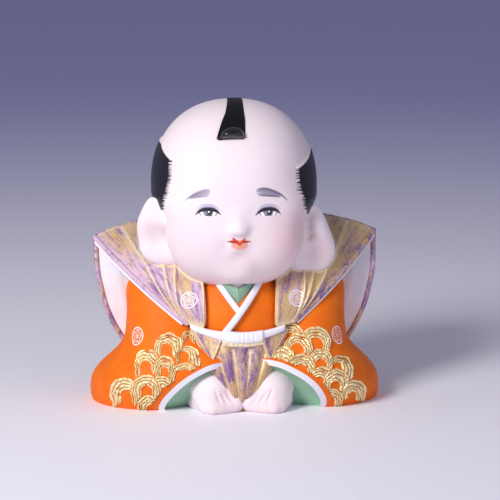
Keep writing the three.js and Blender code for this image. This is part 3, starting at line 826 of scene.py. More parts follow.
up_squared = reckon(flower_crest, "MULTIPLY", given["Up"], given["Up"])
squared = reckon(flower_crest, "MULTIPLY_ADD", given["Across"], given["Across"], up_squared)
reach = reckon(flower_crest, "SQRT", squared)
turn = reckon(flower_crest, "ARCTAN2", given["Across"], given["Up"])
swing = reckon(flower_crest, "COSINE", reckon(flower_crest, "MULTIPLY", turn, PETALS / 2))
petal = reckon(flower_crest, "POWER", reckon(flower_crest, "ABSOLUTE", swing), 0.6)
mask = crest_line(reach, reckon(flower_crest, "MULTIPLY_ADD", petal, 0.34, 0.36), LINE_HALF)
for radius, half in RINGS:
    mask = reckon(flower_crest, "MAXIMUM", mask, crest_line(reach, radius, half))
# A short vein runs along each petal.
rays = reckon(flower_crest, "COSINE", reckon(flower_crest, "MULTIPLY", turn, PETALS))
vein = reckon(flower_crest, "GREATER_THAN", rays, 0.93)
vein = reckon(flower_crest, "MULTIPLY", vein, reckon(flower_crest, "LESS_THAN", reach, 0.5))
vein = reckon(flower_crest, "MULTIPLY", vein, reckon(flower_crest, "GREATER_THAN", reach, 0.26))
flower_crest.links.new(reckon(flower_crest, "MAXIMUM", mask, vein), made.inputs["Mask"])


def crest_mask(tree, place, at, sideways, upright, radius):
    """A crest drawn flat on the cloth: at its place, along two directions that lie in the cloth."""
    apart = node(tree, "VectorMath", {0: place, 1: at}, operation="SUBTRACT").outputs[0]
    lengths = []
    for direction in (sideways, upright):
        dot = node(tree, "VectorMath", {0: apart, 1: direction}, operation="DOT_PRODUCT").outputs["Value"]
        lengths.append(reckon(tree, "DIVIDE", dot, radius))
    drawn = use_group(tree, flower_crest, Across=lengths[0], Up=lengths[1])["Mask"]
    near = node(tree, "VectorMath", {0: apart}, operation="LENGTH").outputs["Value"]
    return reckon(tree, "MULTIPLY", drawn, reckon(tree, "LESS_THAN", near, radius * 1.6))


def with_crests(tree, place, colour, line, crests):
    """Crests drawn over a colour: the place of each, its two directions and its radius."""
    for crest in crests:
        colour = painted_over(tree, colour, line, crest_mask(tree, place, *crest))
    return colour


def matt_paint(name, roughness, specular, depth, thick, thin, crests=(), line=None):
    """A matt, grained coat, of one colour where it is thick and another where it is thin."""
    made, tree, shader = new_paint(name, roughness, specular=specular)
    place = in_shares(tree)
    grained = use_group(tree, clay_grain, Place=place, Depth=depth)
    coat = painted_over(tree, screen_colour(*thick), screen_colour(*thin), grained["Tone"])
    coat = with_crests(tree, place, coat, line, crests)
    lead_in(tree, shader, {"Base Color": coat, "Normal": grained["Normal"]})
    return made


# The belt, the cord, the outer collars and the shoulder piece's lining are white, a little lilac where the
# paint is thin. Bare fired clay shows only underneath. The orange of the robe is redder where it is thin.
white_paint = matt_paint("white_paint", 0.55, 0.35, 0.12, (249, 251, 255), (231, 229, 243))
bare_clay = matt_paint("bare_clay", 0.85, 0.2, 0.35, (214, 178, 150), (190, 150, 122))
CREST_LINE = screen_colour(250, 232, 232)


def orange_paint(name, crests=()):
    return matt_paint(name, 0.6, 0.25, 0.18, (248, 132, 18), (234, 102, 8), crests, CREST_LINE)


# The body under the dress, from the floor to the nape. It is cast clay, painted orange above, and low down
# its back is the skirt, in broad folds of brocade. Its foot is left bare.
def cut_across(bm, at, facing, **cleared):
    """Cuts a form at a plane, clears one side of it, and returns the edges of the cut."""
    everything = bm.verts[:] + bm.edges[:] + bm.faces[:]
    cut = bmesh.ops.bisect_plane(bm, geom=everything, plane_co=at, plane_no=facing, **cleared)
    return [part for part in cut["geom_cut"] if isinstance(part, bmesh.types.BMEdge)]


def stand(bm, clay):
    """Cuts a form off at the floor and closes it with bare clay."""
    rim = cut_across(bm, (0, 0, 0), (0, 0, 1), clear_inner=True)
    bmesh.ops.edgeloop_fill(bm, edges=rim, mat_nr=clay)
    bmesh.ops.recalc_face_normals(bm, faces=bm.faces)


# The form goes on a little below the floor, where it is cut off.
UNDER_FLOOR = -3
back_reach = through((-3, 49), (10, 50), (22, 48.5), (32, 46), (45, 44.5), (60, 40), (74, 33), (84, 27))
SKIRT_TOP = 35
SKIRT_FOLDS = 5


def levels(around, along, bottom, top, middle_x, side, middle_y, front, back, square=1.0, swell=None):
    """A body built up in levels: at each height an outline that reaches side, front and back."""
    rings = along - 2

    def form(mirror):
        def place(t, angle):
            ring = t * along - 1
            z = mix(top, bottom, clamp(ring / rings))
            if ring < -0.5 or ring > rings + 0.5:
                return mirror * middle_x(z), middle_y(z), z  # a pole, on the flat end
            reach = back(z) - middle_y(z) if sin(angle) > 0 else middle_y(z) - front(z)
            more = swell(z, angle) if swell else 0
            x = middle_x(z) + side(z) * bulge(cos(angle), square) + more * cos(angle)
            y = middle_y(z) + reach * bulge(sin(angle), square) + more * sin(angle)
            return mirror * x, y, z

        return ball(around, along, place)

    return form


def skirt_fold(angle):
    return abs(sin(SKIRT_FOLDS * angle)) ** 0.6 * clamp(sin(angle) * 4)


BODY_TOP = 87
BODY_MIDDLE_Y = 6
FOLD_RISE = 2.4
body_side = through(
    (-3, 51), (10, 53), (22, 51), (29, 46), (33, 41), (38, 31), (44, 28), (60, 28), (72, 26), (87, 22),
)
body_front = through((-3, -22), (10, -26), (22, -33), (40, -29), (55, -25), (68, -16), (87, -6))
body_form = levels(
    200, 70, UNDER_FLOOR, BODY_TOP,
    lambda z: 0,
    body_side,
    lambda z: BODY_MIDDLE_Y,
    body_front,
    lambda z: back_reach(z) - 4 * ease(36, 44, z),
    0.86,
    lambda z, angle: FOLD_RISE * skirt_fold(angle) * ease(SKIRT_TOP + 3, SKIRT_TOP - 3, z),
)
robe_orange = orange_paint("robe_orange")
skirt_brocade = brocade_paint("skirt_brocade", (0.7, 0.7, 0.3), 0.25, -0.5)


# Gold on the crests of the skirt's folds, partly gilding and partly a painted highlight.
def fold_gold_and_highlight(at):
    fold = abs(sin(SKIRT_FOLDS * atan2(at.y - BODY_MIDDLE_Y, at.x)))
    return 0.6 * ease(0.94, 1.0, fold)


bm = body_form(1)
mark_cloth(bm, lambda at: at, fold_gold_and_highlight)
for face in bm.faces:
    face.material_index = 0 if face.calc_center_median().z < (SKIRT_TOP + 4) * share else 1
stand(bm, 2)
painted_piece("body", bm, skirt_brocade, robe_orange, bare_clay)


# The back of the stiff shoulder piece: one curved sheet that spreads past the arms on both sides. It is clay
# like the rest, painted as brocade outside and white inside.
wing_edge = through((26, 53.2), (30.5, 56.8), (37, 60.6), (45, 64.1), (54, 66.5), (62.5, 68.3), (78, 69.2))
wing_edge_y = through((26, -1), (36, 0), (48, 0.5), (60, 2), (70, 5.5), (78, 8.5))
ridge_z = through((0, 89), (0.4, 88.2), (0.55, 87.2), (0.7, 85.8), (0.85, 83.4), (1, 79.2))
wing_foot = through((0, 36), (0.4, 35), (0.75, 31), (1, 26))
# The edge is drawn as far up as this.
WING_EDGE_TOP = 78
WING_SHIFT = 0.9
WING_LEAN = 0.9
WING_THICK = 2.6
# The sheet lies round the back and bends out to the sides between these two parts of its half width.
WING_BEND = (0.2, 0.86)
# In the middle it is filled in as far as the arms.
MIDDLE_THICK = 16
MIDDLE_END = (0.55, 0.82)


def wing_back_point(out, t):
    """A point on the back sheet's outer face: out from -1 to 1 across it, t from its foot to the ridge."""
    z = mix(wing_foot(abs(out)), ridge_z(abs(out)), t)
    y = mix(back_reach(z) + 0.6, wing_edge_y(z), ease(WING_BEND[0], WING_BEND[1], abs(out)))
    wide = wing_edge(min(z, WING_EDGE_TOP))
    return Vector((out * wide + WING_SHIFT, y, z + WING_LEAN * out * t))


doll_middle = Vector((0, 0, 50)) * share
# How large the brush strokes are on a sheet, where it doesn't say so itself.
STROKES_WIDE = 60
STROKES_LONG = 60


def cloth(wide, long, place, ridge=None, breadth=STROKES_WIDE, length=STROKES_LONG):
    """A sheet whose outer face is placed by s and t, each from 0 to 1. Ridge says how much gold it takes, in
    part a painted highlight, and its breadth and length set how large the brush strokes are on it."""
    bm = bmesh.new()
    bmesh.ops.create_grid(bm, x_segments=wide, y_segments=long, size=1)
    sweeps = bm.verts.layers.float_vector.new("sweep")
    ridges = bm.verts.layers.float.new("ridge")
    for vert in bm.verts:
        s, t = (vert.co.x + 1) / 2, (vert.co.y + 1) / 2
        vert[sweeps] = (s * breadth, 0, t * length)
        vert[ridges] = ridge(s, t) if ridge else 0
        vert.co = Vector(place(s, t)) * share
    bm.normal_update()
    outward = sum(face.normal.dot(face.calc_center_median() - doll_middle) for face in bm.faces)
    if outward < 0:
        bmesh.ops.reverse_faces(bm, faces=bm.faces)
    return bm


def doubled(bm, material=0):
    """Closes a sheet into a shell. Returns the points of its new face, which still lie on the old ones."""
    pushed = bmesh.ops.extrude_face_region(bm, geom=bm.faces[:])["geom"]
    for face in [part for part in pushed if isinstance(part, bmesh.types.BMFace)]:
        face.material_index = material
    return [part for part in pushed if isinstance(part, bmesh.types.BMVert)]


def thicken(piece, thick):
    """Gives a sheet its thickness inwards, with the next material on the inside, and rounds its rim."""
    wall = piece.modifiers.new("thickness", "SOLIDIFY")
    wall.thickness = thick * share
    wall.offset = -1
    wall.material_offset = 1
    wall.material_offset_rim = 1
    soft = piece.modifiers.new("rim", "BEVEL")
    soft.width = 0.5 * share
    soft.segments = 2
    soft.limit_method = "ANGLE"
    soft.angle_limit = radians(50)


shoulder_brocade = brocade_paint("shoulder_brocade", (0.6, 1, 0.4), -0.2, 0.2)
BACK_STROKES = 140
bm = cloth(
    150, 60, lambda s, t: wing_back_point(1 - 2 * s, t),
    lambda s, t: bell(min(s, 1 - s), 0.012) + bell(1 - t, 0.02), breadth=BACK_STROKES,
)
sweeps = bm.verts.layers.float_vector["sweep"]
for vert in doubled(bm, 1):
    out, t = abs(1 - 2 * vert[sweeps].x / BACK_STROKES), vert[sweeps].z / STROKES_LONG
    filled = (1 - ease(MIDDLE_END[0], MIDDLE_END[1], out)) * (1 - ease(0.5, 0.9, t))
    vert.co.y -= mix(WING_THICK, MIDDLE_THICK, filled) * share
bmesh.ops.recalc_face_normals(bm, faces=bm.faces)
painted_piece("shoulder_back", bm, shoulder_brocade, white_paint)


# The fronts of the shoulder piece: a fan of pleats from the belt up to the ridge of each shoulder, with a
# crest low on each side. They are sheets of clay too, and painted like the back.

# How far out each pleat starts at the belt and ends on the shoulder, and how far they stand up.
PLEATS = [(0.9, 0.35), (0.94, 0.51), (0.97, 0.73)]
PLEAT_RISE = 1.9
# The lining is thick along the outer edge, where it meets the arm.
EDGE_THICK = 8


def outwards(side, s):
    """A place across a sheet of one side, counted from the middle of the doll outwards."""
    return s if side > 0 else 1 - s


def on_pleat(s, t, wide):
    return sum(bell(s - mix(foot, top, min(1.6 * t, 1) ** 0.8), wide) for foot, top in PLEATS)


def wing_front_point(side, s, t):
    foot = Vector((mix(17.8, 25.5, s), mix(-37.5, -34.5, s), mix(40.6, 42.2, s)))
    crest = wing_back_point(side * mix(0.28, 1, s), 1)
    belly = sin(pi * clamp(t)) ** 0.85 if 0 < t < 1 else 0
    fold = on_pleat(s, t, 0.036)
    x = mix(foot.x, side * crest.x, t) + mix(-0.6, 1.2, s) * belly
    y = mix(foot.y, crest.y - WING_THICK, t) - (mix(20, 5.5, s) + PLEAT_RISE * fold) * belly
    z = mix(foot.z, crest.z, t) - mix(-1, 0, s) * belly
    return Vector((side * x, y, z))


# They are gilded where they come out from under the head and the ears.
RIM_WIDE = 1.3
over_cloth = []
for name in ("head", "ear_left", "ear_right"):
    mesh = bpy.data.objects[name].data
    faces = [face.vertices[:] for face in mesh.polygons]
    over_cloth.append(BVHTree.FromPolygons([vert.co for vert in mesh.vertices], faces))


def under_head(spot):
    return any(tree.ray_cast(spot, towards_camera)[0] for tree in over_cloth)


def head_rim(point):
    """How far a place on the cloth lies within the gilded rim beside the head, from 0 to 1."""
    hidden = 0
    for step in range(8):
        turn = step * pi / 4
        hidden += under_head((point + (aside * cos(turn) + upwards * sin(turn)) * RIM_WIDE) * share)
    return clamp(hidden / 2)


# Gold on the pleats' ridges, partly a painted highlight, and along the sheet's edges.
def front_gold_and_highlight(s, t):
    fold = on_pleat(s, t, 0.018)
    return max(fold, 0.8 * bell(s, 0.03), bell(t, 0.05), 0.3 * bell(1 - t, 0.04))


WING_CRESTS = [
    (Vector((-24.3, -32.2, 53.2)), Vector((-1, 0.1, 0)), Vector((0, 0.4, 0.92)), 4.1),
    (Vector((27.3, -31.6, 53.2)), Vector((1, 0.1, 0)), Vector((0, 0.4, 0.92)), 4.1),
]
# The doll's left front has more gold, and its right more lilac.
FRONT_GILT = {1: 0.5, -1: -0.1}
FRONT_PINK = {1: 0.0, -1: 0.3}
for side, word in SIDES:
    front_brocade = brocade_paint(
        "front_brocade_" + word, (0.62, 1, 0.3), FRONT_GILT[side], FRONT_PINK[side], WING_CRESTS)
    bm = cloth(
        120, 60,
        lambda s, t: wing_front_point(side, outwards(side, s), t),
        lambda s, t: max(
            front_gold_and_highlight(outwards(side, s), t),
            head_rim(wing_front_point(side, outwards(side, s), t)),
        ),
    )
    sweeps = bm.verts.layers.float_vector["sweep"]
    for vert in doubled(bm, 1):
        s, t = vert[sweeps].x / STROKES_WIDE, vert[sweeps].z / STROKES_LONG
        at_edge = ease(0.5, 1, outwards(side, s)) * sin(pi * clamp(t))
        vert.co -= vert.normal * mix(WING_THICK, EDGE_THICK, at_edge) * share
    bmesh.ops.recalc_face_normals(bm, faces=bm.faces)
    painted_piece("shoulder_front_" + word, bm, front_brocade, white_paint)


# The rolled hem along the edges of the shoulder piece is a bead of clay, painted as brocade, with a thin
# white piping beside it on the fronts.
HEM_RADIUS = {"shoulder_hem_": 1.35, "ridge_hem_": 1.15, "front_hem_": 1.25}
HEM_GILDING = {"shoulder_hem_": 0.05, "ridge_hem_": 0.1, "front_hem_": 0.0}


def rod(around, along, path, radius):
    """A round rod along a path, whose section is square to it."""
    step = 1e-3

    def run(t):
        return (Vector(path(min(t + step, 1))) - Vector(path(max(t - step, 0)))).normalized()

    def aside_of(t):
        return run(t).cross(Vector((0.1, 1, 0.2))).normalized()

    return strap(around, along, path, aside_of, lambda t: run(t).cross(aside_of(t)), radius, radius, square=1)


hem_brocade = brocade_paint("hem_brocade", (0.9, 0.9, 0.4))
bead_brocade = brocade_paint("bead_brocade", (0.9, 0.9, 0.4), -0.7, 0.8)
PIPING_RADIUS = 0.6
for side, word in SIDES:
    hems = {
        "shoulder_hem_": lambda t: wing_back_point(side * 0.99, t) + Vector((0, 0.5 - WING_THICK, 0)),
        "ridge_hem_": lambda t: wing_back_point(side * mix(0.4, 1, t), 1) + Vector((0, -1.2, -0.4)),
        "front_hem_": lambda t: wing_front_point(side, 1, t) + Vector((side * -0.3, 0, 0.2)),
    }
    for name, path in hems.items():
        bm = rod(20, 90, path, lambda t: HEM_RADIUS[name])
        mark_cloth(bm, lambda at: at, lambda at: HEM_GILDING[name])
        # The front bead on the doll's right is pinker, like its cloth.
        painted_piece(name + word, bm, bead_brocade if name == "front_hem_" and side < 0 else hem_brocade)
    below = Vector((side * 0.7, 0.4, -1.2))
    piping = rod(
        16, 90, lambda t: wing_front_point(side, 1, mix(0.03, 0.97, t)) + below, lambda t: PIPING_RADIUS,
    )
    painted_piece("front_piping_" + word, piping, white_paint)


# The chest between the shoulder pieces, and what is tucked round it: two white collars and a green one.
# All are clay, laid on in bands and painted.
CHEST = {"y": -12, "z": 42, "wide": 30, "deep": 27.5, "tall": 28}


def chest_point(x, z):
    rest = 1 - (x / CHEST["wide"]) ** 2 - ((z - CHEST["z"]) / CHEST["tall"]) ** 2
    return Vector((x, CHEST["y"] - CHEST["deep"] * max(rest, 0) ** 0.5, z))


def egg(around, along, middle, halves):
    """An egg of clay: its middle, and half its size along each axis."""
    return ball(around, along, lambda t, angle: (
        middle[0] + halves[0] * sin(pi * t) * cos(angle),
        middle[1] + halves[1] * sin(pi * t) * sin(angle),
        middle[2] + halves[2] * cos(pi * t),
    ))


chest = egg(96, 72, (0, CHEST["y"], CHEST["z"]), (CHEST["wide"], CHEST["deep"], CHEST["tall"]))
painted_piece("chest", chest, robe_orange)


def chest_band(start, end, half_width, half_thick, lift=0.0, across=None):
    """A band of cloth laid on the chest from one place to another, each given as x and z."""
    run = hypot(end[0] - start[0], end[1] - start[1])
    across = across or Vector((-(end[1] - start[1]) / run, 0, (end[0] - start[0]) / run))

    def path(t):
        return chest_point(mix(start[0], end[0], t), mix(start[1], end[1], t)) - Vector((0, lift, 0))

    return strap(32, 50, path, lambda t: across, lambda t: (0, -1, 0), half_width, lambda t: half_thick)


def green_paint(name, thick, thin):
    return matt_paint(name, 0.58, 0.35, 0.15, thick, thin)


collar_green = green_paint("collar_green", (150, 188, 160), (128, 166, 140))

# The green one is rolled over on both sides, and its rolls meet in a crease.
roll = through((0, 0.9), (0.5, 2.8), (1, 4.1))
upright = Vector((0, 0, 1))
left_roll = chest_band((7, 61.6), (-0.8, 55.7), roll, 1.5, 0.4, upright)
right_roll = chest_band((-9.7, 61.4), (-0.8, 55.7), roll, 1.5, 0.4, upright)
painted_piece("under_collar_left", left_roll, collar_green)
painted_piece("under_collar_right", right_roll, collar_green)
painted_piece("collar_right", chest_band((-12.2, 64), (-1.2, 49.3), lambda t: 1.5, 1.6, 1.2), white_paint)
painted_piece("collar_left", chest_band((11.4, 64), (-8.8, 37.4), lambda t: 1.6, 1.6, 1.6), white_paint)


# The throat shows in the notch between the two rolls of the green collar. It is clay, and coated like the
# ears.
painted_piece("throat", egg(48, 36, Vector((-1.1, -25, 62.5)), (6.4, 10.6, 8)), ear_paint)


# The belt is a flat white band of clay round the waist, tied in a bar at the front. Below it a narrow gilded
# band holds the tops of the pleats.
BELT_HALF = 24


def belt_path(x):
    bent = (x / BELT_HALF) ** 2
    return Vector((x, -41.2 + 6.6 * bent, 36.8 + 4.4 * bent))


def waist_band(around, along, start, finish, moved, half_width, half_thick, end=0.8):
    """An upright band along the belt's line, from one place across to another, and then moved."""
    return strap(
        around, along, lambda t: belt_path(mix(start, finish, t)) + Vector(moved),
        lambda t: (0, 0, 1), lambda t: (0, -1, 0), half_width, half_thick, end=end,
    )


belt_half_width = through((0, 1.4), (0.5, 2.4), (1, 1.4))
belt = waist_band(32, 90, -BELT_HALF, 21.6, (0, 0, 0), belt_half_width, lambda t: 1.6)
painted_piece("belt", belt, white_paint)
BAR_CREASES = [0.385, 0.5, 0.635, 0.77]


def bar_crease(t):
    return sum(bell(t - at, 0.02) for at in BAR_CREASES)


belt_bar = waist_band(
    40, 120, -8.2, 9, (1.2, -1, 0),
    lambda t: 2.8 - 0.1 * bar_crease(t), lambda t: 1.9 - 0.22 * bar_crease(t), end=0.9,
)
painted_piece("belt_bar", belt_bar, white_paint)

gilt_band = waist_band(24, 60, -9.6, 11.2, (0.4, -0.7, -3.3), lambda t: 1.5, lambda t: 1.2)
mark_cloth(gilt_band, lambda at: at, lambda at: 0.9)
painted_piece("gilt_band", gilt_band, hem_brocade)


# The front of the divided skirt: pleats of clay that run together down to the floor between the hands. Gold
# is rubbed into the creases between them.
SKIRT_PLEATS = 5
SKIRT_FRONT_TOP = 39
SKIRT_FRONT_DEEP = 12
skirt_reach = through((-3, -36), (4, -40), (12, -44), (20, -44.5), (30, -41.5), (39, -37.5))


def skirt_point(s, t):
    q = 2 * s - 1
    z = mix(UNDER_FLOOR, SKIRT_FRONT_TOP, t)
    fold = abs(sin(pi * SKIRT_PLEATS * s)) ** 0.6
    half_width = mix(3, 24, clamp((z - UNDER_FLOOR) / (SKIRT_FRONT_TOP - UNDER_FLOOR)))
    return Vector((q * half_width, skirt_reach(z) + 5 * q * q - 1.9 * fold, z))


def pleat_gilding(s, t):
    return bell(abs(sin(pi * SKIRT_PLEATS * s)), 0.3)


bm = cloth(150, 60, skirt_point, pleat_gilding, breadth=34, length=42)
for vert in doubled(bm):
    vert.co.y += SKIRT_FRONT_DEEP * share
stand(bm, 1)
painted_piece("skirt_front", bm, skirt_brocade, bare_clay)


# The lap fills the body out behind the skirt, between the sleeves. It is clay in the skirt's brocade.
lap_side = through((-3, 19), (10, 22), (25, 28), (40, 26), (50, 16))
lap_front = through((-3, -35.5), (8, -38.5), (25, -41), (40, -38), (50, -30))
LAP_TOP = 50
LAP_MIDDLE_Y = -18
LAP_BACK_Y = -4
lap_form = levels(
    64, 30, UNDER_FLOOR, LAP_TOP,
    lambda z: 0, lap_side, lambda z: LAP_MIDDLE_Y, lap_front, lambda z: LAP_BACK_Y,
)
bm = lap_form(1)
mark_cloth(bm, lambda at: at)
stand(bm, 1)
painted_piece("lap", bm, skirt_brocade, bare_clay)


# The folded corners of the skirt, under the belt's ends: two stiff flaps, with their edges rubbed with gold.
CORNER_THICK = 3
CORNER_STROKES = 20


def corner_point(side, s, t):
    u = outwards(side, s)
    x = mix(mix(13.6, 15.6, u), mix(9.5, 23.2, u), t)
    y = mix(mix(-43, -41.5, u), mix(-41.4, -35.4, u), t)
    return Vector((side * x, y, mix(mix(26.5, 27.5, u), mix(35.5, 40, u), t)))


for side, word in SIDES:
    bm = cloth(
        24, 24, lambda s, t: corner_point(side, s, t),
        lambda s, t: 0.6 * max(bell(s, 0.06), bell(1 - s, 0.06)), CORNER_STROKES, CORNER_STROKES,
    )
    corner = painted_piece("skirt_corner_" + word, bm, skirt_brocade, skirt_brocade)
    thicken(corner, CORNER_THICK)


# At the back, a stiff board at the waist in brocade, the white cord that runs from it to both sides, and the
# white collar at the nape. All are clay, pressed onto the body.
BOARD_FOOT = 29
BOARD_TOP = 43
BOARD_THICK = 5


def board_point(s, t):
    z = mix(BOARD_FOOT, BOARD_TOP, t)
    x = (1 - 2 * s) * mix(17, 12.5, t)
    return Vector((x, back_reach(z) + 5.2 - 0.005 * x * x, z))


def board_gilding(s, t):
    return max(bell(min(s, 1 - s), 0.04), bell(min(t, 1 - t), 0.08))


bm = cloth(40, 20, board_point, board_gilding, 34, 14)
thicken(painted_piece("waist_board", bm, skirt_brocade, skirt_brocade), BOARD_THICK)

# The cord's height, and how far out on the back sheet its two ends lie.
WAIST_CORD_LEVEL = 40
CORD_END = 0.62


def cord_out(t):
    return mix(CORD_END, -CORD_END, t)


def cord_path(t):
    on_back = wing_back_point(cord_out(t), 0.07)
    return Vector((on_back.x, on_back.y + 2, WAIST_CORD_LEVEL))


def cord_outward(t):
    return Vector((1.3 * cord_out(t), 1, 0)).normalized()


waist_cord = strap(24, 90, cord_path, lambda t: (0, 0, 1), cord_outward, lambda t: 2, lambda t: 1.8)
painted_piece("waist_cord", waist_cord, white_paint)


def nape(t):
    return radians(mix(-72, 72, t))


nape_collar = strap(
    24, 90,
    lambda t: Vector((31 * sin(nape(t)), 1.5 + 28.5 * cos(nape(t)), 82.5 + 2.5 * sin(nape(t)) ** 2)),
    lambda t: (0, -0.45, 0.89),
    lambda t: (sin(nape(t)), cos(nape(t)), 0.3),
    lambda t: 3, lambda t: 1.9,
)
painted_piece("nape_collar", nape_collar, white_paint)


# The sleeves: an upright arm that swells into a bag of cloth round the knee, and forward to a wide mouth
# with a white hem and a green lining. They are clay, painted orange outside and left bare underneath.
sleeve_middle = through((-3, 38), (12, 38), (30, 34), (70, 30))
sleeve_middle_y = through((-3, -3), (14, -3), (30, -8), (70, -8))
sleeve_out = through(
    (-3, 69.5), (0, 70.2), (3, 70.9), (7, 71), (12, 69.9), (17, 66.6), (22, 61.8), (27, 57.2), (32, 54.4),
    (45, 53.2), (57, 53), (64, 48), (70, 38),
)
sleeve_front = through(
    (-3, -29), (0, -33), (4, -36.5), (9, -39.5), (15, -42), (20, -42.5), (26, -40), (33, -36), (42, -33),
    (56, -24), (70, -6),
)
sleeve_back = through((-3, 20), (8, 24), (16, 22), (26, 11), (34, 6.5), (56, 5), (70, 2))
forearm_reach = through(
    (-3, 4), (5, 6), (10, 9), (16, 13), (21, 15), (25, 16), (29, 11), (34, 5), (40, 1), (70, 0),
)
FOREARM_ANGLE = radians(-140)


def forearm_swell(z, angle):
    off = angle - FOREARM_ANGLE
    return forearm_reach(z) * bell(atan2(sin(off), cos(off)), 0.5)


SLEEVE_TOP = 70
sleeve_form = levels(
    150, 90, UNDER_FLOOR, SLEEVE_TOP,
    sleeve_middle,
    lambda z: sleeve_out(z) - sleeve_middle(z),
    sleeve_middle_y, sleeve_front, sleeve_back,
    1.0, forearm_swell,
)
# Each sleeve's mouth: a place on it and the way it faces.
MOUTH_THROUGH = {1: Vector((33, -42, 15)) * share, -1: Vector((-30.1, -42, 13.9)) * share}
MOUTH_FACING = {1: Vector((-0.3, -0.73, -0.61)).normalized(), -1: Vector((0.32, -0.69, -0.65)).normalized()}
HEM_WIDE = 2.7
HEM_LIP = 1.3
HEM_DEEP = 0.9


def sleeve_mesh(side):
    """The sleeve is cut across at its mouth. The cut is inset for the hem, and sunk for the lining."""
    bm = sleeve_form(side)
    facing = MOUTH_FACING[side]
    rim = cut_across(bm, MOUTH_THROUGH[side], facing, clear_outer=True)
    mouth = bmesh.ops.edgeloop_fill(bm, edges=rim)["faces"]
    for face in mouth:
        face.normal_update()
        if face.normal.dot(facing) < 0:
            face.normal_flip()
    inset = bmesh.ops.inset_individual(bm, faces=mouth, thickness=HEM_WIDE * share, use_even_offset=True)
    for face in inset["faces"]:
        face.material_index = 1
    for vert in {vert for face in mouth for vert in face.verts}:
        vert.co += facing * HEM_LIP * share
    sunk = bmesh.ops.extrude_discrete_faces(bm, faces=mouth)["faces"]
    for face in sunk:
        face.material_index = 2
        for edge in face.edges:
            for wall in edge.link_faces:
                wall.material_index = 2
        for vert in face.verts:
            vert.co -= facing * (HEM_LIP + HEM_DEEP) * share
    stand(bm, 3)
    return bm


SLEEVE_CRESTS = [
    (Vector((-49.1, -25.6, 35.1)), Vector((-0.583, 0.812, 0)), Vector((0.16, 0.16, 0.97)), 4.5),
    (Vector((48.0, -27.6, 34.3)), Vector((0.617, 0.787, 0)), Vector((-0.16, 0.16, 0.97)), 4.5),
]
sleeve_orange = orange_paint("sleeve_orange", SLEEVE_CRESTS)
# Lighter than the collar's green: painted light that brightens the lining in the shade of the sleeve's mouth.
lining_green = green_paint("lining_green", (168, 208, 180), (144, 186, 158))
sleeves = {}
for side, word in SIDES:
    sleeves[side] = painted_piece(
        "sleeve_" + word, sleeve_mesh(side), sleeve_orange, white_paint, lining_green, bare_clay,
    )


# The wave pattern: scallops of raised clay slip, drawn on the sleeves line by line and laid with gold. The
# lower ones lie over the upper ones. Each scallop is seen from the front: the place of its outer circle
# across and up from the picture's middle, its radius, and the place and radius of the bare round inside.
WAVE_LINES = 4
WAVE_RISE = 1.0
WAVE_SINK = -0.35
WAVE_LEAN = {-1: radians(4), 1: radians(-10)}
# A scallop's line is round but for this part of it at each end, which runs on straight down by a share of
# the radius.
LEG_PART = 0.2
WAVE_LEG = {-1: 1.35, 1: 0.95}
WAVES = {
    -1: [
        ((-29.8, -41.7), 3.0, (-29.8, -42.1), 0.7), ((-39.0, -46.4), 6.9, (-40.0, -47.6), 2.5),
        ((-29.5, -51.9), 5.7, (-31.7, -50.7), 2.0), ((-49.0, -53.6), 6.2, (-49.8, -56.0), 2.6),
        ((-40.5, -55.2), 4.8, (-40.7, -58.1), 1.7), ((-31.4, -61.0), 7.6, (-31.4, -61.4), 4.5),
        ((-60.5, -68.1), 7.1, (-59.3, -69.8), 2.4), ((-42.1, -65.5), 5.7, (-41.4, -68.1), 2.4),
        ((-49.5, -66.4), 7.1, (-49.5, -67.4), 2.5), ((-48.8, -75.2), 5.7, (-47.6, -76.7), 2.2),
    ],
    1: [
        ((20.0, -41.0), 6.0, (19.0, -43.3), 3.1), ((31.4, -44.3), 7.6, (31.9, -45.7), 3.1),
        ((23.3, -47.1), 7.1, (22.6, -48.3), 3.0), ((15.5, -52.4), 6.4, (14.5, -55.2), 2.9),
        ((33.6, -53.3), 6.0, (34.0, -55.0), 2.5), ((24.8, -56.7), 7.1, (23.8, -59.0), 3.8),
        ((42.9, -57.6), 6.9, (41.7, -56.7), 2.4), ((34.3, -61.4), 6.0, (32.9, -63.8), 2.9),
        ((41.4, -63.3), 6.4, (41.0, -65.2), 2.1), ((50.5, -68.1), 6.0, (49.3, -70.5), 1.9),
        ((39.5, -71.9), 5.7, (38.8, -73.6), 2.0),
    ],
}


def on_picture(across, up):
    """A place on the plane through the doll's middle that faces the camera."""
    return looked_at + (aside * across + upwards * up) * share


def under_later(spot, later, lean, leg):
    """How far a later scallop covers a spot of the picture, from 0 to 1."""
    flat = spot - on_picture(*later[0])
    sideways, up = flat.dot(aside) / share, flat.dot(upwards) / share
    sideways, up = sideways * cos(lean) + up * sin(lean), up * cos(lean) - sideways * sin(lean)
    if up < -leg * later[1]:
        return 0
    apart = hypot(sideways, max(up, 0))
    return ease(later[1] + 0.1, later[1] - 0.4, apart)


def along_scallop(s, lean, leg):
    """Where s, from 0 to 1, lies along a scallop of radius 1: across and up from its middle."""
    round_part = clamp((s - LEG_PART) / (1 - 2 * LEG_PART))
    angle = mix(-pi / 2, pi / 2, round_part)
    drop = leg * (max(LEG_PART - s, 0) + max(s - (1 - LEG_PART), 0)) / LEG_PART
    across, up = -sin(angle), cos(angle) - drop
    return across * cos(lean) - up * sin(lean), up * cos(lean) + across * sin(lean)


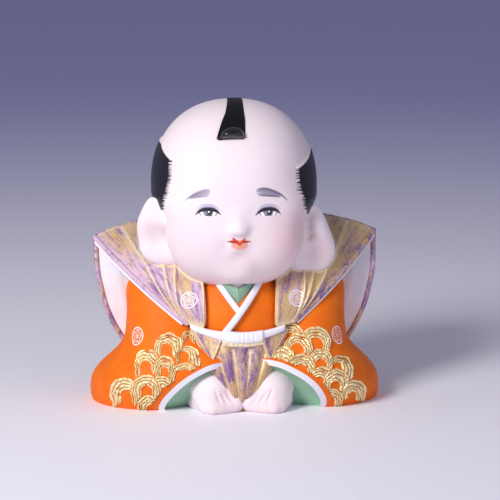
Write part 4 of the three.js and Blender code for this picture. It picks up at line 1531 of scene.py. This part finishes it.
def wave_mesh(side):
    mesh = sleeves[side].data
    orange = [face.vertices[:] for face in mesh.polygons if face.material_index == 0]
    tree = BVHTree.FromPolygons([vert.co for vert in mesh.vertices], orange)
    lost = []
    bm = bmesh.new()
    lines = bm.verts.layers.float.new("line")
    waves, lean, leg = WAVES[side], WAVE_LEAN[side], WAVE_LEG[side]
    for i, (outer_place, outer, inner_place, inner) in enumerate(waves):
        patch = bmesh.ops.create_grid(bm, x_segments=96, y_segments=10 * WAVE_LINES, size=1)["verts"]
        for vert in patch:
            s, r = (vert.co.x + 1) / 2, (vert.co.y + 1) / 2
            across, up = along_scallop(s, lean, leg)
            shiver = noise.noise(Vector((2.6 * across + 7 * i, 2.6 * up, 3.1 * side)))
            radius = mix(inner, outer, r) * (1 + 0.1 * shiver) * share
            middle = on_picture(*inner_place).lerp(on_picture(*outer_place), r)
            spot = middle + (aside * across + upwards * up) * radius
            hit, normal = tree.ray_cast(spot + towards_camera * 0.1, -towards_camera)[:2]
            if hit is None or normal.dot(towards_camera) < 0.05:
                lost.append(vert)
                continue
            wander = noise.noise(Vector((7 * s + 5 * i, 2.5 * r, side)))
            counted = WAVE_LINES * (r + 0.13 * wander)
            which = 1.7 * round(counted - 0.5)
            stroke = noise.noise(Vector((7 * s + 3 * i, which, 9 * side)))
            bead = noise.noise(Vector((26 * s + 3 * i, which, 5 * side)))
            line = abs(sin(pi * counted)) ** 0.7 * clamp(1.1 + 1.5 * stroke)
            vert[lines] = line
            height = mix(-0.05, WAVE_RISE * clamp(0.85 + 0.5 * stroke + 0.6 * bead, 0.2, 1.4), line)
            height -= 1.6 * max([0, *[under_later(spot, later, lean, leg) for later in waves[i + 1:]]])
            at_rim = min(r, 1 - r, 2 * s, 2 * (1 - s))
            vert.co = hit + normal * mix(WAVE_SINK, height, ease(0, 0.07, at_rim)) * share
    bmesh.ops.delete(bm, geom=lost, context="VERTS")
    # The pattern ends short of the sleeve's mouth, and at the floor.
    facing = MOUTH_FACING[side]
    cut_across(bm, MOUTH_THROUGH[side] - facing * share, facing, clear_outer=True)
    cut_across(bm, Vector((0, 0, 0)), Vector((0, 0, -1)), clear_outer=True)
    bm.normal_update()
    if sum(face.normal.dot(towards_camera) for face in bm.faces) < 0:
        bmesh.ops.reverse_faces(bm, faces=bm.faces)
    return bm


# Between the gold lines is orange-brown: the sleeve's orange, with painted shade in the grooves.
gold_leaf, tree, shader = new_paint("gold_leaf", 0.3, specular=0.6)
place = in_shares(tree)
pale_gold_mask = clouds(tree, place, 0.5, 3, 0.6)
line = node(tree, "Attribute", attribute_name="line").outputs["Fac"]
gilded = reckon(tree, "MULTIPLY_ADD", line, 2.8, -0.6, clamped=True)
tone = painted_over(tree, screen_colour(238, 202, 122), screen_colour(255, 247, 208), pale_gold_mask)
lead_in(tree, shader, {
    "Base Color": painted_over(tree, screen_colour(186, 112, 38), tone, gilded),
    "Metallic": reckon(tree, "MULTIPLY", gilded, 0.35),
    "Roughness": reckon(tree, "MULTIPLY_ADD", pale_gold_mask, 0.2, 0.16),
    "Normal": raised(tree, clouds(tree, place, 1.1, 2), 0.0006, 0.5),
})
for side, word in SIDES:
    painted_piece("waves_" + word, wave_mesh(side), gold_leaf, sharp=60)


# The hands are closed hands of clay that lean on the floor and meet a little to one side of the middle. They
# are coated in shell white, with a blush at the fingers.
HAND_SHIFT = Vector((0.9, 0, 0))
KNUCKLES = [(18.2, -42.4), (14.8, -44.8), (11, -43.4), (7.4, -41.4)]
HAND_MIDDLE = Vector((14, -37, 8))
HAND_SOFT = 1.6
# The hand's surface is sought along each ray from its middle, no further out than this, by halving.
HAND_REACH = 40.0
HALVINGS = 14
# Each part: a rod from one place to another, and its radius at both.
HAND_PARTS = [
    ((17.2, -28, 14), (14.2, -36.3, 10.9), 9.3, 8.6),
    ((19.2, -25, 3.5), (17.6, -32, 3.2), 7, 6.2),
    ((15, -37, 4.5), (4.4, -36, 3.8), 5.6, 4.4),
    ((11, -35.8, 12.4), (3.4, -39.4, 5), 5, 3.8),
    *[((x + 3.6, y + 8.5, 11.5), (x, y, 2.4), 2.2, 1.6) for x, y in KNUCKLES],
]
HAND_RODS = [(Vector(start), Vector(end), *radii) for start, end, *radii in HAND_PARTS]


# The grooves between the fingers run forward and down over the front of the hand. Each is given by the
# places of its two ends, across and up.
LINE_DEPTH = 0.9
FINGER_LINES = [((13.7, 11.8), (11, 5.1)), ((11, 10.4), (7.6, 5.1)), ((8.4, 11.2), (3.6, 3.6))]


def finger_groove(point, start, end):
    """How deep in one groove a point of the hand's front lies, from 0 to 1."""
    start, end, flat = Vector(start), Vector(end), Vector((point.x, point.z))
    run = end - start
    along = (flat - start).dot(run) / run.length_squared
    off = (flat - start - run * clamp(along)).length
    return bell(off, 0.7) * bell(along - 0.5, 0.5) * ease(-36, -40, point.y)


def in_hand(point):
    total = 0
    for start, end, start_radius, end_radius in HAND_RODS:
        run = end - start
        t = clamp((point - start).dot(run) / run.length_squared)
        total += exp((mix(start_radius, end_radius, t) - (point - start - run * t).length) / HAND_SOFT)
    return total > 1


def hand_mesh(side):
    def place(t, angle):
        direction = Vector((sin(pi * t) * cos(angle), sin(pi * t) * sin(angle), cos(pi * t)))
        near, beyond = 0.0, HAND_REACH
        for _ in range(HALVINGS):
            half = (near + beyond) / 2
            if in_hand(HAND_MIDDLE + direction * half):
                near = half
            else:
                beyond = half
        point = HAND_MIDDLE + direction * near
        groove = sum(finger_groove(point, start, end) for start, end in FINGER_LINES)
        point -= direction * LINE_DEPTH * groove
        return Vector((side * point.x, point.y, point.z)) + HAND_SHIFT

    bm = ball(160, 120, place)
    stand(bm, 1)
    return bm


FINGER_BLUSH = [((12, -46, 3), 7, 0.16, BLUSH_AND_SHADE_PINK), ((-10, -46, 3), 7, 0.16, BLUSH_AND_SHADE_PINK)]
hand_paint = skin_paint("hand_paint", FINGER_BLUSH)[0]
for side, word in SIDES:
    painted_piece("hand_" + word, hand_mesh(side), hand_paint, bare_clay)
